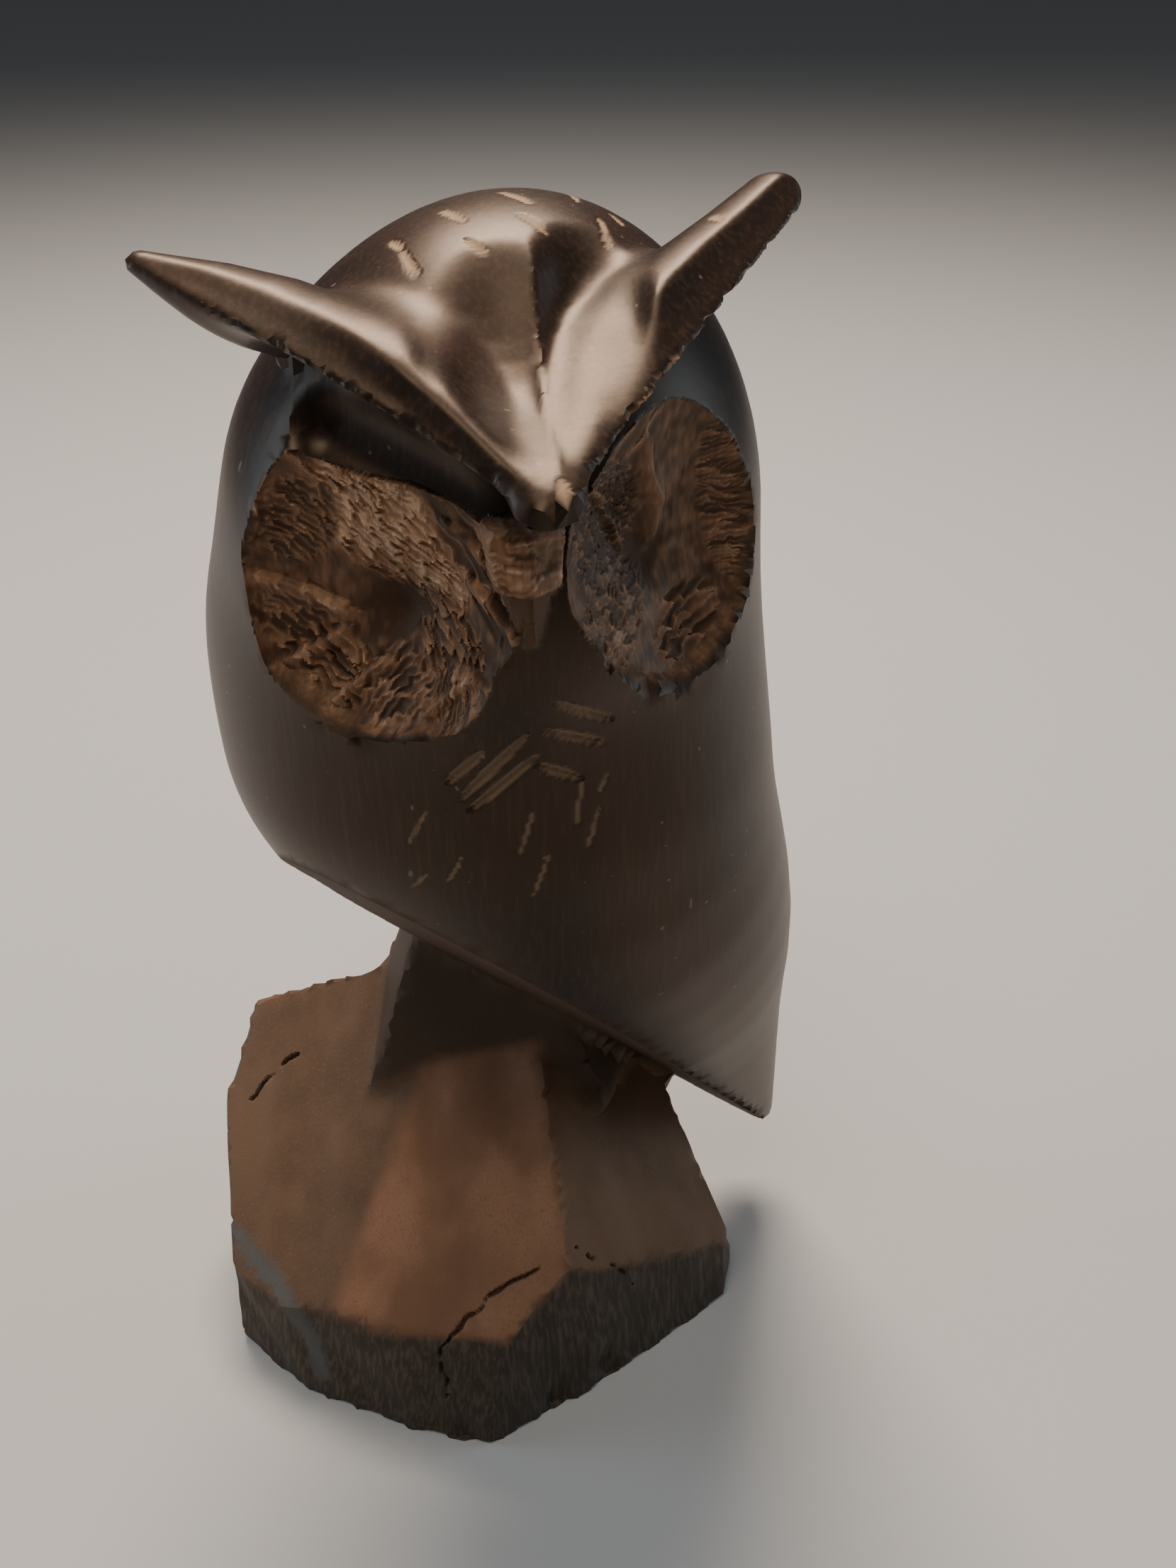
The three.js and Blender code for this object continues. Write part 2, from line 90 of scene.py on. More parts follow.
# %% Distances
def blend(a, b, width):
    """Joins two forms with a soft fillet."""
    h = np.clip(0.5 + 0.5 * (b - a) / width, 0, 1)
    return b + (a - b) * h - width * h * (1 - h)


def carve(a, b, width):
    """Keeps what is in both forms, with a softened edge."""
    return -blend(-a, -b, width)


def smooth(x):
    x = np.clip(x, 0, 1)
    return x * x * (3 - 2 * x)


def ellipsoid(p, centre, radii):
    q = p - np.array(centre)
    near = np.linalg.norm(q / np.array(radii), axis=1)
    far = np.linalg.norm(q / np.array(radii) ** 2, axis=1)
    return near * (near - 1) / np.maximum(far, 1e-6)


def round_cone(p, a, b, ra, rb):
    """Two balls and the cone that touches both."""
    a, b = np.array(a, float), np.array(b, float)
    ab = b - a
    length2 = ab @ ab
    fall = ra - rb
    rest = length2 - fall * fall
    pa = p - a
    y = pa @ ab
    z = y - length2
    x2 = ((pa * length2 - y[:, None] * ab) ** 2).sum(axis=1)
    y2, z2 = y * y * length2, z * z * length2
    k = np.sign(fall) * fall * fall * x2
    d = (np.sqrt(x2 * rest / length2) + y * fall) / length2 - ra
    d = np.where(np.sign(y) * rest * y2 < k, np.sqrt(x2 + y2) / length2 - ra, d)
    return np.where(np.sign(z) * rest * z2 > k, np.sqrt(x2 + z2) / length2 - rb, d)


def through(values, parts):
    """A smooth curve through the values, with so many parts between each two."""
    v = np.array(values, float)
    v = np.concatenate([[2 * v[0] - v[1]], v, [2 * v[-1] - v[-2]]])
    made = []
    for i in range(1, len(v) - 2):
        for t in np.arange(parts) / parts:
            made.append(0.5 * (2 * v[i] + (v[i + 1] - v[i - 1]) * t
                               + (2 * v[i - 1] - 5 * v[i] + 4 * v[i + 1] - v[i + 2]) * t ** 2
                               + (3 * v[i] - v[i - 1] - 3 * v[i + 1] + v[i + 2]) * t ** 3))
    return np.array(made + [v[-2]])


def ball_row(p, points, radii):
    """A row of balls, each joined to the next by a cone."""
    cones = [round_cone(p, points[i], points[i + 1], radii[i], radii[i + 1])
             for i in range(len(points) - 1)]
    return np.min(cones, axis=0)


FAR = 40.0


def only(near, form, p):
    """Works a form out only for the points near it, and calls the rest far."""
    d = np.full(len(p), FAR)
    if near.any():
        d[near] = form(p[near])
    return d


def unit(v):
    v = np.array(v, float)
    return v / np.linalg.norm(v)


def beyond(p, point, normal):
    """How far a point lies beyond a flat saw cut."""
    return (p - np.array(point, float)) @ unit(normal)


# %% [markdown]
# The body is five rounded masses and a tapered row of balls down the back. A mass lists its centre,
# its half sizes, the heights between which it counts, and how wide the fillet is that joins it to
# the masses before it. The face is turned a little to one side.

# %% Masses of the body
FACE_TURN = radians(15)
FACE_AXIS = (5.5, -4.75)
BODY_MASSES = [
    ((6.2, -1.5, 151.5), (33.2, 34, 33), (108, np.inf), 0),
    ((9.8, 3, 160.5), (26, 26, 27.3), (126, np.inf), 6),
    ((2.5, 4, 137), (34.5, 30, 26), (100, 174), 8),
    ((3.5, 3, 120.5), (36.8, 34, 35), (74, 166), 8),
    ((8, 3, 100), (30, 28, 31), (62, 138), 3),
]
BACK_TOP = 174
BACK_FILLET = 8
BACK_LINE = [(9, 3, 134), (14.2, 2.5, 103), (23.8, 6.3, 81), (33.4, 10.5, 58), (47, 17, 22.5)]
BACK_RADII = [29.6, 31.6, 26.6, 17.9, 6.6]
BACK_CURVE = through(BACK_LINE, 3)
BACK_GIRTH = through(BACK_RADII, 3)
print("back curve:", len(BACK_CURVE), "balls")


def face_frame(p):
    """Across, forward and up, in the frame of the turned face."""
    dx, dy = p[:, 0] - FACE_AXIS[0], p[:, 1] - FACE_AXIS[1]
    c, s = np.cos(FACE_TURN), np.sin(FACE_TURN)
    return np.stack([dx * c + dy * s, dx * s - dy * c, p[:, 2]], axis=1)


def body_form(p):
    """The masses and the back, without the head's carving."""
    z = p[:, 2]
    d = None
    for centre, radii, (low, high), fillet in BODY_MASSES:
        here = only((z > low) & (z < high), lambda q: ellipsoid(q, centre, radii), p)
        d = here if d is None else blend(d, here, fillet)
    back = only(z < BACK_TOP, lambda q: ball_row(q, BACK_CURVE, BACK_GIRTH), p)
    return blend(d, back, BACK_FILLET)


# %% [markdown]
# Each ear tuft runs from its free end to the tip of the brow, and its lower edge is a straight line.
# A tuft lists its thickness along that edge, the angle and the hollow of its flat front, the fall of
# its underside at both ends, the drop of its oval at the free end, how far the scoops stay above the
# edge, and how much more of it they spare.

# %% Ear tufts
LEFT_TUFT = {
    "start": (-29.5, -15.3, 184.6), "end": (15.1, -41.8, 167.9),
    "at": [0, 0.13, 0.25, 0.36, 0.46, 0.58, 0.68, 0.8, 0.9, 1],
    "thick": [1.2, 3, 4.2, 4.8, 5, 4.8, 3.9, 2.7, 1.9, 1.3],
    "facet": 52, "hollow": 0.4, "undercut": (85, 8), "drop": 0.3, "floor": 1.2, "spare": 0,
}
RIGHT_TUFT = {
    "start": (42.9, 1.5, 187.2), "end": (15.4, -42.2, 167.8),
    "at": [0, 0.14, 0.28, 0.42, 0.54, 0.66, 0.82, 1],
    "thick": [2.6, 3.1, 3.7, 4.1, 4.1, 3.5, 2.4, 1.5],
    "facet": 78, "hollow": 0.2, "undercut": (20, 8), "drop": 0, "floor": 0.9, "spare": 1.6,
}
TUFT_WIDE = 1.6
DROP_ENDS = 0.62
DROP_WITHIN = 0.35
DROP_TURN = radians(50)
FACET_SINK = 0.12
UNDERCUT_WITHIN = 0.45
BLUNT_END = ((41.8, -0.2, 187.9), (0.97, -0.1, 0.22))
BROW_CORE = {"tip": (15.2, -39.6, 168.2), "root": (9.5, -23, 172), "radii": (1.9, 10.5), "flat": 1.5}
SOFT = {"edge": 1.6}
TUFTS = (LEFT_TUFT, RIGHT_TUFT)

for tuft in TUFTS:
    start, end = np.array(tuft["start"]), np.array(tuft["end"])
    tuft["length"] = np.linalg.norm(end - start)
    tuft["along"] = unit(end - start)
    across = unit(np.cross(tuft["along"], (0, 0, 1)))
    tuft["out"] = across if across[1] < 0 else -across
    up = np.cross(tuft["along"], tuft["out"])
    tuft["up"] = up if up[2] > 0 else -up
    print("brow edge", round(tuft["length"], 1), "mm long")


def above_edge(p, tuft):
    return (p - np.array(tuft["start"])) @ tuft["up"]


def tuft_section(p, tuft):
    """Where a point lies along a tuft, and how far outside its oval and its flat front."""
    q = p - np.array(tuft["start"])
    t = q @ tuft["along"]
    s = np.clip(t / tuft["length"], 0, 1)
    past = np.maximum(-t, 0) + np.maximum(t - tuft["length"], 0)
    thick = np.interp(s, tuft["at"], tuft["thick"])
    x = (q @ tuft["out"]) / TUFT_WIDE
    y = q @ tuft["up"]
    low = tuft["drop"] * thick * smooth((DROP_ENDS - s) / DROP_WITHIN)
    turn = radians(tuft["facet"]) / 2 + DROP_TURN * low / thick
    facet = x * np.cos(turn) + y * np.sin(turn)
    chord = (y * np.cos(turn) - x * np.sin(turn)) / np.maximum(2 * thick * np.sin(turn), 0.1)
    dip = tuft["hollow"] * np.clip(4 * chord * (1 - chord), 0, 1) * np.minimum(thick / 3, 1)
    facet += dip - FACET_SINK
    oval = np.sqrt((x + thick) ** 2 + (y + low) ** 2 + past ** 2) - thick
    return {"s": s, "x": x, "y": y, "thick": thick, "facet": facet, "chord": chord, "oval": oval}


def tuft_form(p, tuft):
    """A tuft swept along its lower edge. SOFT says how soft that edge is at the moment."""
    at = tuft_section(p, tuft)
    first, last = tuft["undercut"]
    fall = np.radians(first + (last - first) * smooth(at["s"] / UNDERCUT_WITHIN))
    under = TUFT_WIDE * at["x"] * np.sin(fall) - at["y"] * np.cos(fall)
    form = carve(carve(at["oval"], at["facet"], 0.5), under, SOFT["edge"])
    if tuft is RIGHT_TUFT:
        form = carve(form, beyond(p, *BLUNT_END), 0.8)
    return form


def brow_core(p):
    """Fills the beak of the brow between the two tufts."""
    squash = np.array((1, 1, BROW_CORE["flat"]))
    tip, root = BROW_CORE["tip"] * squash, BROW_CORE["root"] * squash
    d = round_cone(p * squash, tip, root, *BROW_CORE["radii"])
    for tuft in TUFTS:
        d = carve(d, -above_edge(p, tuft), 0.4)
    return d


def tufts(p):
    return blend(blend(tuft_form(p, LEFT_TUFT), tuft_form(p, RIGHT_TUFT), 2), brow_core(p), 1.5)


# %% [markdown]
# Two hollows are scooped out of the forehead, and between them a sharp crest is left. The bottom
# of each follows an arc from the crown to the tip of the brow, and gets narrower on the way. Under
# the left brow a smooth recess is cut as well.

# %% Forehead and brow
LEFT_SCOOP = {"top": (5.7, -12.6, 184.1), "end": (14.5, -41, 170), "arc": 42,
              "at": [0, 0.4, 0.75, 1], "radius": [15, 10, 5, 2.2]}
RIGHT_SCOOP = {"top": (20, -6, 184.4), "end": (17.5, -38.9, 169.8), "arc": 48,
               "at": [0, 0.25, 0.5, 0.72, 0.86, 1], "radius": [8, 7.4, 7, 7, 6, 3.5]}
SCOOP_STEPS = 11
HEAD_FROM = 155
RECESS = {"ends": ((0.42, 6.2), (0.93, 5)), "radii": (5.2, 4.2)}


def scoop_row(scoop):
    """The row of balls that cuts a scoop, each resting on the arc."""
    top, end = np.array(scoop["top"]), np.array(scoop["end"])
    chord = end - top
    length = np.linalg.norm(chord)
    level = unit((chord[0], chord[1], 0))
    fall, half = np.arcsin(-chord[2] / length), np.arcsin(length / 2 / scoop["arc"])
    part = np.linspace(0, 1, SCOOP_STEPS + 1)
    turn = fall + half - 2 * half * part
    out = level * np.sin(turn)[:, None] + np.array((0, 0, 1)) * np.cos(turn)[:, None]
    radius = np.interp(part, scoop["at"], scoop["radius"])
    return top + out[:1] * scoop["arc"] - out * (scoop["arc"] - radius)[:, None], radius


SCOOP_ROWS = [scoop_row(LEFT_SCOOP), scoop_row(RIGHT_SCOOP)]
print("scoops have", SCOOP_STEPS + 1, "balls each")


def forehead_scoops(p):
    """The two hollows. They stay above the edges of the brow."""
    d = np.minimum(ball_row(p, *SCOOP_ROWS[0]), ball_row(p, *SCOOP_ROWS[1]))
    for tuft in TUFTS:
        d = carve(d, tuft["floor"] - above_edge(p, tuft), 1.2)
    return d


def brow_recess(p):
    """The smooth hollow that undercuts the left brow, from one part of its edge to another."""
    ends = []
    for part, drop in RECESS["ends"]:
        edge = np.array(LEFT_TUFT["start"]) + LEFT_TUFT["along"] * LEFT_TUFT["length"] * part
        ends.append(edge - LEFT_TUFT["out"] - np.array((0, 0, drop)))
    return round_cone(p, *ends, *RECESS["radii"])


def brow(p, scoops):
    """Both tufts, trimmed by the scoops."""
    made = []
    for tuft in TUFTS:
        spared = tuft["spare"] * smooth((0.8 - tuft_section(p, tuft)["s"]) / 0.4)
        made.append(carve(tuft_form(p, tuft), -scoops - spared, 1.5))
    return blend(made[0], made[1], 2)


def right_facet(p):
    """The right tuft's flat front runs on into the head a little."""
    at = tuft_section(p, RIGHT_TUFT)
    across = (1.3 - at["chord"]) * at["thick"]
    along = (0.75 - at["s"]) * 12
    return np.min([at["facet"], at["y"], across, along], axis=0)


def polished_form(p):
    """The owl's rounded form, before the saw cuts and the eye discs."""
    d = body_form(p)
    high = p[:, 2] > HEAD_FROM
    if high.any():
        q = p[high]
        head = blend(carve(d[high], -brow_recess(q), 1.5), brow_core(q), 3)
        scoops = forehead_scoops(q)
        head = blend(carve(head, -scoops, 1.8), brow(q, scoops), 3)
        d[high] = carve(head, right_facet(q), 0.6)
    return d


# %% [markdown]
# An eye disc is a bowl chiselled out of the head. Its rim isn't a true circle: the gouge broke out
# at places. The rim is therefore given by a few pixels of the photograph, taken to the plane of the
# disc, and the radius in between changes evenly from one to the next. The floor falls from a low
# lip at the rim to the middle. In front of it a ball widens the hollow, and the brow is left.

# %% Eye discs
def disc_axes(normal):
    n = unit(normal)
    across = unit(np.cross((0, 0, 1), n))
    return across, np.cross(n, across), n


def disc_place(p, disc):
    """Across, up and out, measured from the middle of a disc."""
    q = p - np.array(disc["centre"])
    return np.stack([q @ axis for axis in disc["axes"]], axis=1)


def disc_pixels(pixels, disc):
    """Takes pixels of the photograph to the plane of a disc."""
    lines = sight(pixels)
    n = disc["axes"][2]
    reach = ((np.array(disc["centre"]) - CAMERA_PLACE) @ n) / (lines @ n)
    return disc_place(CAMERA_PLACE + lines * reach[:, None], disc)[:, :2]


BROW_CLEARANCE = 1.5
WALL_SLOPE = 2.2
LEFT_DISC = {
    "centre": (-3.8, -29.3, 154.2), "normal": (-0.46, -0.887, 0.02),
    "depth": 4.2, "lip": 0.7, "ball": 17, "fall": 5,
    "rim": [(738, 920), (690, 950), (675, 1005), (640, 1036), (590, 1025), (490, 1010),
            (453, 985), (385, 925), (360, 835), (352, 800), (368, 740), (372, 693),
            (410, 625), (480, 634), (560, 606), (668, 670), (715, 790)],
}
RIGHT_DISC = {
    "centre": (29.6, -21, 158.4), "normal": (0.72, -0.69, 0),
    "depth": 5, "lip": 0.7, "ball": 19.3, "fall": 5.8,
    "rim": [(1065, 735), (1045, 840), (1010, 890), (985, 925), (945, 950), (905, 950),
            (840, 900), (805, 850), (800, 740), (850, 660), (900, 560), (985, 480),
            (1050, 560), (1066, 650)],
}
DISCS = (LEFT_DISC, RIGHT_DISC)
for disc in DISCS:
    disc["axes"] = disc_axes(disc["normal"])
    rim = disc_pixels(disc["rim"], disc)
    turn = np.arctan2(rim[:, 1], rim[:, 0])
    order = np.argsort(turn)
    around = turn[order]
    disc["rim_turn"] = np.concatenate([around - 2 * np.pi, around, around + 2 * np.pi])
    disc["rim_radius"] = np.tile(np.linalg.norm(rim, axis=1)[order], 3)
    print("disc radii", disc["rim_radius"][: len(rim)].round(1))


def disc_reach(p, disc):
    """The place in a disc, how far that is from its middle, and how far the rim is that way."""
    place = disc_place(p, disc)
    turn = np.arctan2(place[:, 1], place[:, 0])
    radius = np.interp(turn, disc["rim_turn"], disc["rim_radius"])
    return place, np.hypot(place[:, 0], place[:, 1]), radius


def disc_hollow(p, disc, cover):
    """Below zero in the hollow of a disc. The cover is what the hollow must leave: the brow."""
    place, r, radius = disc_reach(p, disc)
    inside = np.minimum(r / radius, 1)
    bowl = -disc["lip"] - disc["depth"] * (1 - inside ** 2)
    floor = bowl + WALL_SLOPE * np.maximum(r - radius, 0)
    ball = (disc["ball"] ** 2 + disc["fall"] ** 2) / (2 * disc["fall"])
    middle = p - np.array(disc["centre"]) - disc["axes"][2] * (ball - disc["fall"])
    above = np.linalg.norm(middle, axis=1) - ball
    hollow = np.minimum(floor - place[:, 2], np.maximum(above, BROW_CLEARANCE - place[:, 2]))
    return np.maximum(hollow, -cover)


# %% [markdown]
# Between the discs stand the bridge and the beak, two wedges with a ridge down the front. A wedge is
# given by its half width, how far forward it comes and its height, at its top and at its bottom.

# %% Bridge and beak
BEAK_MIDDLE = -1.7
BEAK_ROOT = 27
RIDGE_SLOPE = 0.7
BRIDGE = {"top": (4.2, 32.2, 164), "bottom": (3.4, 33.4, 157.4)}
BEAK = {"top": (2.7, 32.6, 158), "bottom": (0.9, 32.4, 150.6)}


def wedge(face, shape):
    """A tapered wedge in the frame of the face, which starts inside the head."""
    half_top, front_top, z_top = shape["top"]
    half_low, front_low, z_low = shape["bottom"]
    t = np.clip((face[:, 2] - z_low) / (z_top - z_low), 0, 1)
    half = half_low + (half_top - half_low) * t
    front = front_low + (front_top - front_low) * t
    side = np.abs(face[:, 0] - BEAK_MIDDLE)
    d = np.maximum(side - half, face[:, 1] - front + side / (RIDGE_SLOPE * half))
    d = np.maximum(d, BEAK_ROOT - face[:, 1])
    return np.maximum(d, np.maximum(face[:, 2] - z_top, z_low - face[:, 2]))


def beak_form(p):
    face = face_frame(p)
    return np.minimum(wedge(face, BRIDGE), wedge(face, BEAK))


print("bridge and beak:", round(BRIDGE["top"][2] - BEAK["bottom"][2], 1), "mm high")

# %% [markdown]
# The underside of the body is two flat cuts, and the block and the neck are bounded by saw cuts
# that were never rounded off. They are listed as a point on each cut and the way that it faces.
# The first cuts of the block slope, the next ones are its walls, and the last two are flat.

# %% Saw cuts
FRONT_CUT = ((-19.6, 0, 87), (-0.73, -1.087, -1))
REAR_CUT = ((-22.5, 2, 84), (-1.29, 1.087, -1))
BLOCK_CUTS = [
    ((-45.9, -7, 23.8), (-0.39, -0.57, 0.722)),
    ((-3.4, -31.3, 22.4), (-0.23, -0.65, 0.72)),
    ((10.3, 0.8, 54.7), (0.652, -0.411, 0.637)),
    ((-10, 16, 62), (-0.1, 1, 0.45)),
    ((35, 4.8, 28.5), (0.905, 0.361, 0.223)),
    ((-44.8, -12, 0), (-0.99, -0.15, 0)),
    ((-43.3, -19.7, 0), (-0.61, -0.79, 0.12)),
    ((-30.1, -29.8, 0), (-0.34, -0.94, 0.24)),
    ((1.4, -39.2, 0), (-0.2, -0.98, 0.27)),
    ((1.4, -39.2, 0), (0.49, -0.87, 0.12)),
    ((18.1, -29.8, 0), (0.6, -0.8, 0.1)),
    ((43.1, -11.1, 0), (0.98, -0.2, 0.05)),
    ((-47, 10, 0), (-0.93, 0.35, 0)),
    ((-40, 26, 0), (-0.45, 0.89, 0)),
    ((10, 38, 0), (-0.07, 1, 0)),
    ((10, 38, 0), (0.38, 0.92, 0)),
    ((34, 28, 0), (0.8, 0.6, 0.1)),
    ((0, 0, 66), (0, 0, 1)),
    ((0, 0, 0), (0, 0, -1)),
]
LEFT_SLOPE, CENTRE_SLOPE, RIGHT_SLOPE = 0, 1, 2
FIRST_WALL = 5
LAST_WALL = 16
NECK_CUTS = [
    ((-11.6, 5.5, 70), (-0.93, -0.15, 0.33)),
    ((2, 1.5, 60), (-0.1, -0.97, 0.25)),
    ((18, 4, 56), (0.86, -0.25, 0.45)),
    ((4, 19, 60), (0, 1, 0.12)),
    ((0, 0, 80), (0, 0, 1)),
    ((0, 0, 44), (0, 0, -1)),
]


def owl_cuts(p):
    """All that bounds the owl. The largest one counts."""
    cover = only(p[:, 2] > HEAD_FROM, tufts, p)
    return np.stack([polished_form(p), beyond(p, *FRONT_CUT), beyond(p, *REAR_CUT),
                     -disc_hollow(p, LEFT_DISC, cover), -disc_hollow(p, RIGHT_DISC, cover)])


def block_cuts(p):
    return np.stack([beyond(p, *cut) for cut in BLOCK_CUTS])


def neck_form(p):
    return np.stack([beyond(p, *cut) for cut in NECK_CUTS]).max(axis=0)


def wood(p):
    """The whole piece of wood, before the tool marks."""
    owl, block = owl_cuts(p).max(axis=0), block_cuts(p).max(axis=0)
    return np.min([owl, beak_form(p), block, neck_form(p)], axis=0)


def slope(form, p, reach=0.02):
    """The gradient of a form, by small steps."""
    here = form(p)
    step = np.eye(3) * reach
    return here, np.stack([(form(p + step[k]) - here) / reach for k in range(3)], axis=-1)


# %% Find the wood behind a pixel
MARCH_FROM = 60.0
MARCH_STEPS = 220
LONGEST_STEP = 3
BROW_TIP_PIXEL = (790, 735)


def seen(pixels):
    """Where the lines of sight through pixels of the photograph meet the wood."""
    lines = sight(pixels)
    reach = np.full(len(lines), MARCH_FROM)
    for _ in range(MARCH_STEPS):
        here = CAMERA_PLACE + lines * reach[:, None]
        reach += np.clip(wood(here), -LONGEST_STEP, LONGEST_STEP) * 0.5
    return CAMERA_PLACE + lines * reach[:, None]


print("brow tip at", seen([BROW_TIP_PIXEL]).round(1))

# %% [markdown]
# The skin starts as a copy of the solid. Its loose triangles are merged, and the voxel remesh
# gives even quads. Where the knife or the gouge left fine marks, the quads are split again, and
# the plain polished parts stay coarse, which keeps the mesh light.

# %% Copy and remesh
VOXEL = 1.8
bpy.ops.object.select_all(action="DESELECT")
carving = solid.copy()
carving.data = solid.data.copy()
carving.name = "carved_owl"
carving.data.name = "carved_owl"
carving.data.materials.clear()
bpy.context.collection.objects.link(carving)
bpy.context.view_layer.objects.active = carving
carving.select_set(True)
bpy.ops.object.mode_set(mode="EDIT")
bpy.ops.mesh.select_all(action="SELECT")
bpy.ops.mesh.remove_doubles(threshold=0.01 * MM)
bpy.ops.object.mode_set(mode="OBJECT")
remesh = carving.modifiers.new("skin", "REMESH")
remesh.mode = "VOXEL"
remesh.voxel_size = VOXEL * MM
bpy.ops.object.modifier_apply(modifier=remesh.name)
print("even skin:", len(carving.data.polygons), "faces")


def points():
    flat = np.empty(len(carving.data.vertices) * 3)
    carving.data.vertices.foreach_get("co", flat)
    return flat.reshape(-1, 3) / MM


def set_points(p):
    carving.data.vertices.foreach_set("co", (p * MM).ravel())
    carving.data.update()


def draw_on(p, rounds):
    """Moves points along the slope onto the surface of the wood."""
    for _ in range(rounds):
        here, rise = slope(wood, p)
        size = np.maximum((rise ** 2).sum(axis=1), 0.05)
        step = rise * (here / size)[:, None]
        length = np.linalg.norm(step, axis=1)
        p = p - step * np.minimum(1, VOXEL / np.maximum(length, 1e-9))[:, None]
    return p


skin = draw_on(points(), 4)

# %% [markdown]
# A quad that lies across a sharp edge would cut its corner off. So points within reach of an edge
# are moved onto it: the two cuts that meet there are both brought to zero at once. The reach is less
# than half the spacing, so no two points end up in one place.

# %% Pull points onto the sharp edges
ON_SURFACE = 0.1
EDGE_REACH = 0.48
BEAK_CLEARANCE = 0.3
LEAST_ANGLE = 0.05


def edge_lengths(p):
    """The mean length of the edges that meet at each point."""
    pairs = np.empty(len(carving.data.edges) * 2, int)
    carving.data.edges.foreach_get("vertices", pairs)
    pairs = pairs.reshape(-1, 2)
    length = np.linalg.norm(p[pairs[:, 0]] - p[pairs[:, 1]], axis=1)
    total, count = np.zeros(len(p)), np.zeros(len(p))
    for side in (0, 1):
        np.add.at(total, pairs[:, side], length)
        np.add.at(count, pairs[:, side], 1)
    return total / np.maximum(count, 1)


def sharpen(p, cuts, chosen, reach):
    """Moves the chosen points onto the edge between their two nearest cuts, if it is in reach."""
    order = np.argsort(cuts(p[chosen]), axis=0)[-2:]
    here, rise = slope(cuts, p[chosen])
    pick = np.arange(here.shape[1])
    value = np.stack([here[order[1], pick], here[order[0], pick]], axis=1)
    grad = np.stack([rise[order[1], pick], rise[order[0], pick]], axis=1)
    gram = grad @ grad.transpose(0, 2, 1)
    clear = np.linalg.det(gram) > LEAST_ANGLE
    gram[~clear] = np.eye(2)
    move = -(grad.transpose(0, 2, 1) @ np.linalg.solve(gram, value[:, :, None]))[:, :, 0]
    near = clear & (np.linalg.norm(move, axis=1) < EDGE_REACH * reach[chosen])
    moved = p.copy()
    moved[np.flatnonzero(chosen)[near]] += move[near]
    return moved


def on_edges(p):
    """Pulls points onto the edges of owl and block."""
    spacing = edge_lengths(p)
    on_owl = np.abs(owl_cuts(p).max(axis=0)) < ON_SURFACE
    p = sharpen(p, owl_cuts, on_owl & (beak_form(p) >= BEAK_CLEARANCE), spacing)
    on_block = np.abs(block_cuts(p).max(axis=0)) < ON_SURFACE
    return sharpen(p, block_cuts, on_block, spacing)


sharp = on_edges(skin)
print("pulled", int((np.abs(sharp - skin).max(axis=1) > 0).sum()), "points onto edges")
set_points(sharp)

# %% [markdown]
# The small marks are placed by pixels of the photograph, and each is then found on the wood. A
# straight mark is its two ends, a crack is a line of several, and a notch is a place and a size.

# %% Marks by pixels of the photograph
CHEST_STROKES = [
    ((629, 1107), (682, 1060)), ((648, 1130), (747, 1034)), ((662, 1144), (758, 1066)),
    ((782, 992), (865, 1015)), ((766, 1031), (853, 1047)), ((756, 1079), (821, 1098)),
]
CHEST_NICKS = [
    ((603, 1142), (576, 1190)), ((651, 1211), (632, 1244)), ((753, 1142), (732, 1212)),
    ((774, 1208), (751, 1267)), ((820, 1104), (815, 1161)), ((860, 1088), (845, 1117)),
    ((847, 1136), (828, 1200)), ((603, 1233), (582, 1252)),
]
HEAD_FLECKS = [
    ((551, 341), (566, 352)), ((566, 355), (589, 388)), ((622, 298), (656, 312)),
    ((656, 336), (686, 360)), ((705, 271), (749, 287)), ((733, 301), (771, 331)),
    ((794, 272), (817, 286)), ((860, 301), (880, 319)), ((845, 308), (859, 350)),
    ((1003, 306), (1021, 311)), ((793, 676), (797, 712)),
]
CRACK = [(766, 1783), (706, 1822), (664, 1857), (639, 1881), (627, 1896), (625, 1931), (632, 1969)]
SIDE_CRACK = [(782, 1752), (814, 1762), (842, 1773), (863, 1785), (893, 1811)]
KNOT_CRACK = [(356, 1548), (380, 1520), (418, 1489)]
SLICK_STRIP = [(333, 1742), (368, 1780), (405, 1834), (440, 1890), (453, 1938)]
FOOT_NOTCHES = [
    ((410, 1962), 3), ((503, 1997), 4), ((659, 2022), 2.5),
    ((786, 1986), 4), ((858, 1930), 3.5), ((925, 1900), 3),
]


def steps(line):
    """The short lines that a longer one is made of."""
    return list(zip(line[:-1], line[1:]))


def marks(lines, width, depth=0):
    """Marks on the wood: two ends, a half width and a depth."""
    ends = seen([pixel for line in lines for pixel in line]).reshape(-1, 2, 3)
    return [(a, b, width, depth) for a, b in ends]


STROKES = marks(CHEST_STROKES, width=0.75, depth=0.6)
NICKS = marks(CHEST_NICKS, width=0.24, depth=0.25)
KNIFE_MARKS = STROKES + NICKS
FLECKS = marks(HEAD_FLECKS, width=0.5, depth=0.25)
CRACKS = marks(steps(CRACK) + steps(SIDE_CRACK) + steps(KNOT_CRACK), width=0.35)
SLICK = marks(steps(SLICK_STRIP), width=1.5)
NOTCHES = [(seen([pixel])[0], size) for pixel, size in FOOT_NOTCHES]
print(len(KNIFE_MARKS), "knife marks,", len(FLECKS), "flecks and", len(NOTCHES), "notches")

# %% How far a point is from a mark
def off_line(p, a, b):
    """How far along a line each point is, from 0 to 1, and how far off it."""
    ab = b - a
    t = np.clip((p - a) @ ab / (ab @ ab), 0, 1)
    return t, np.linalg.norm(p - a - t[:, None] * ab, axis=1)


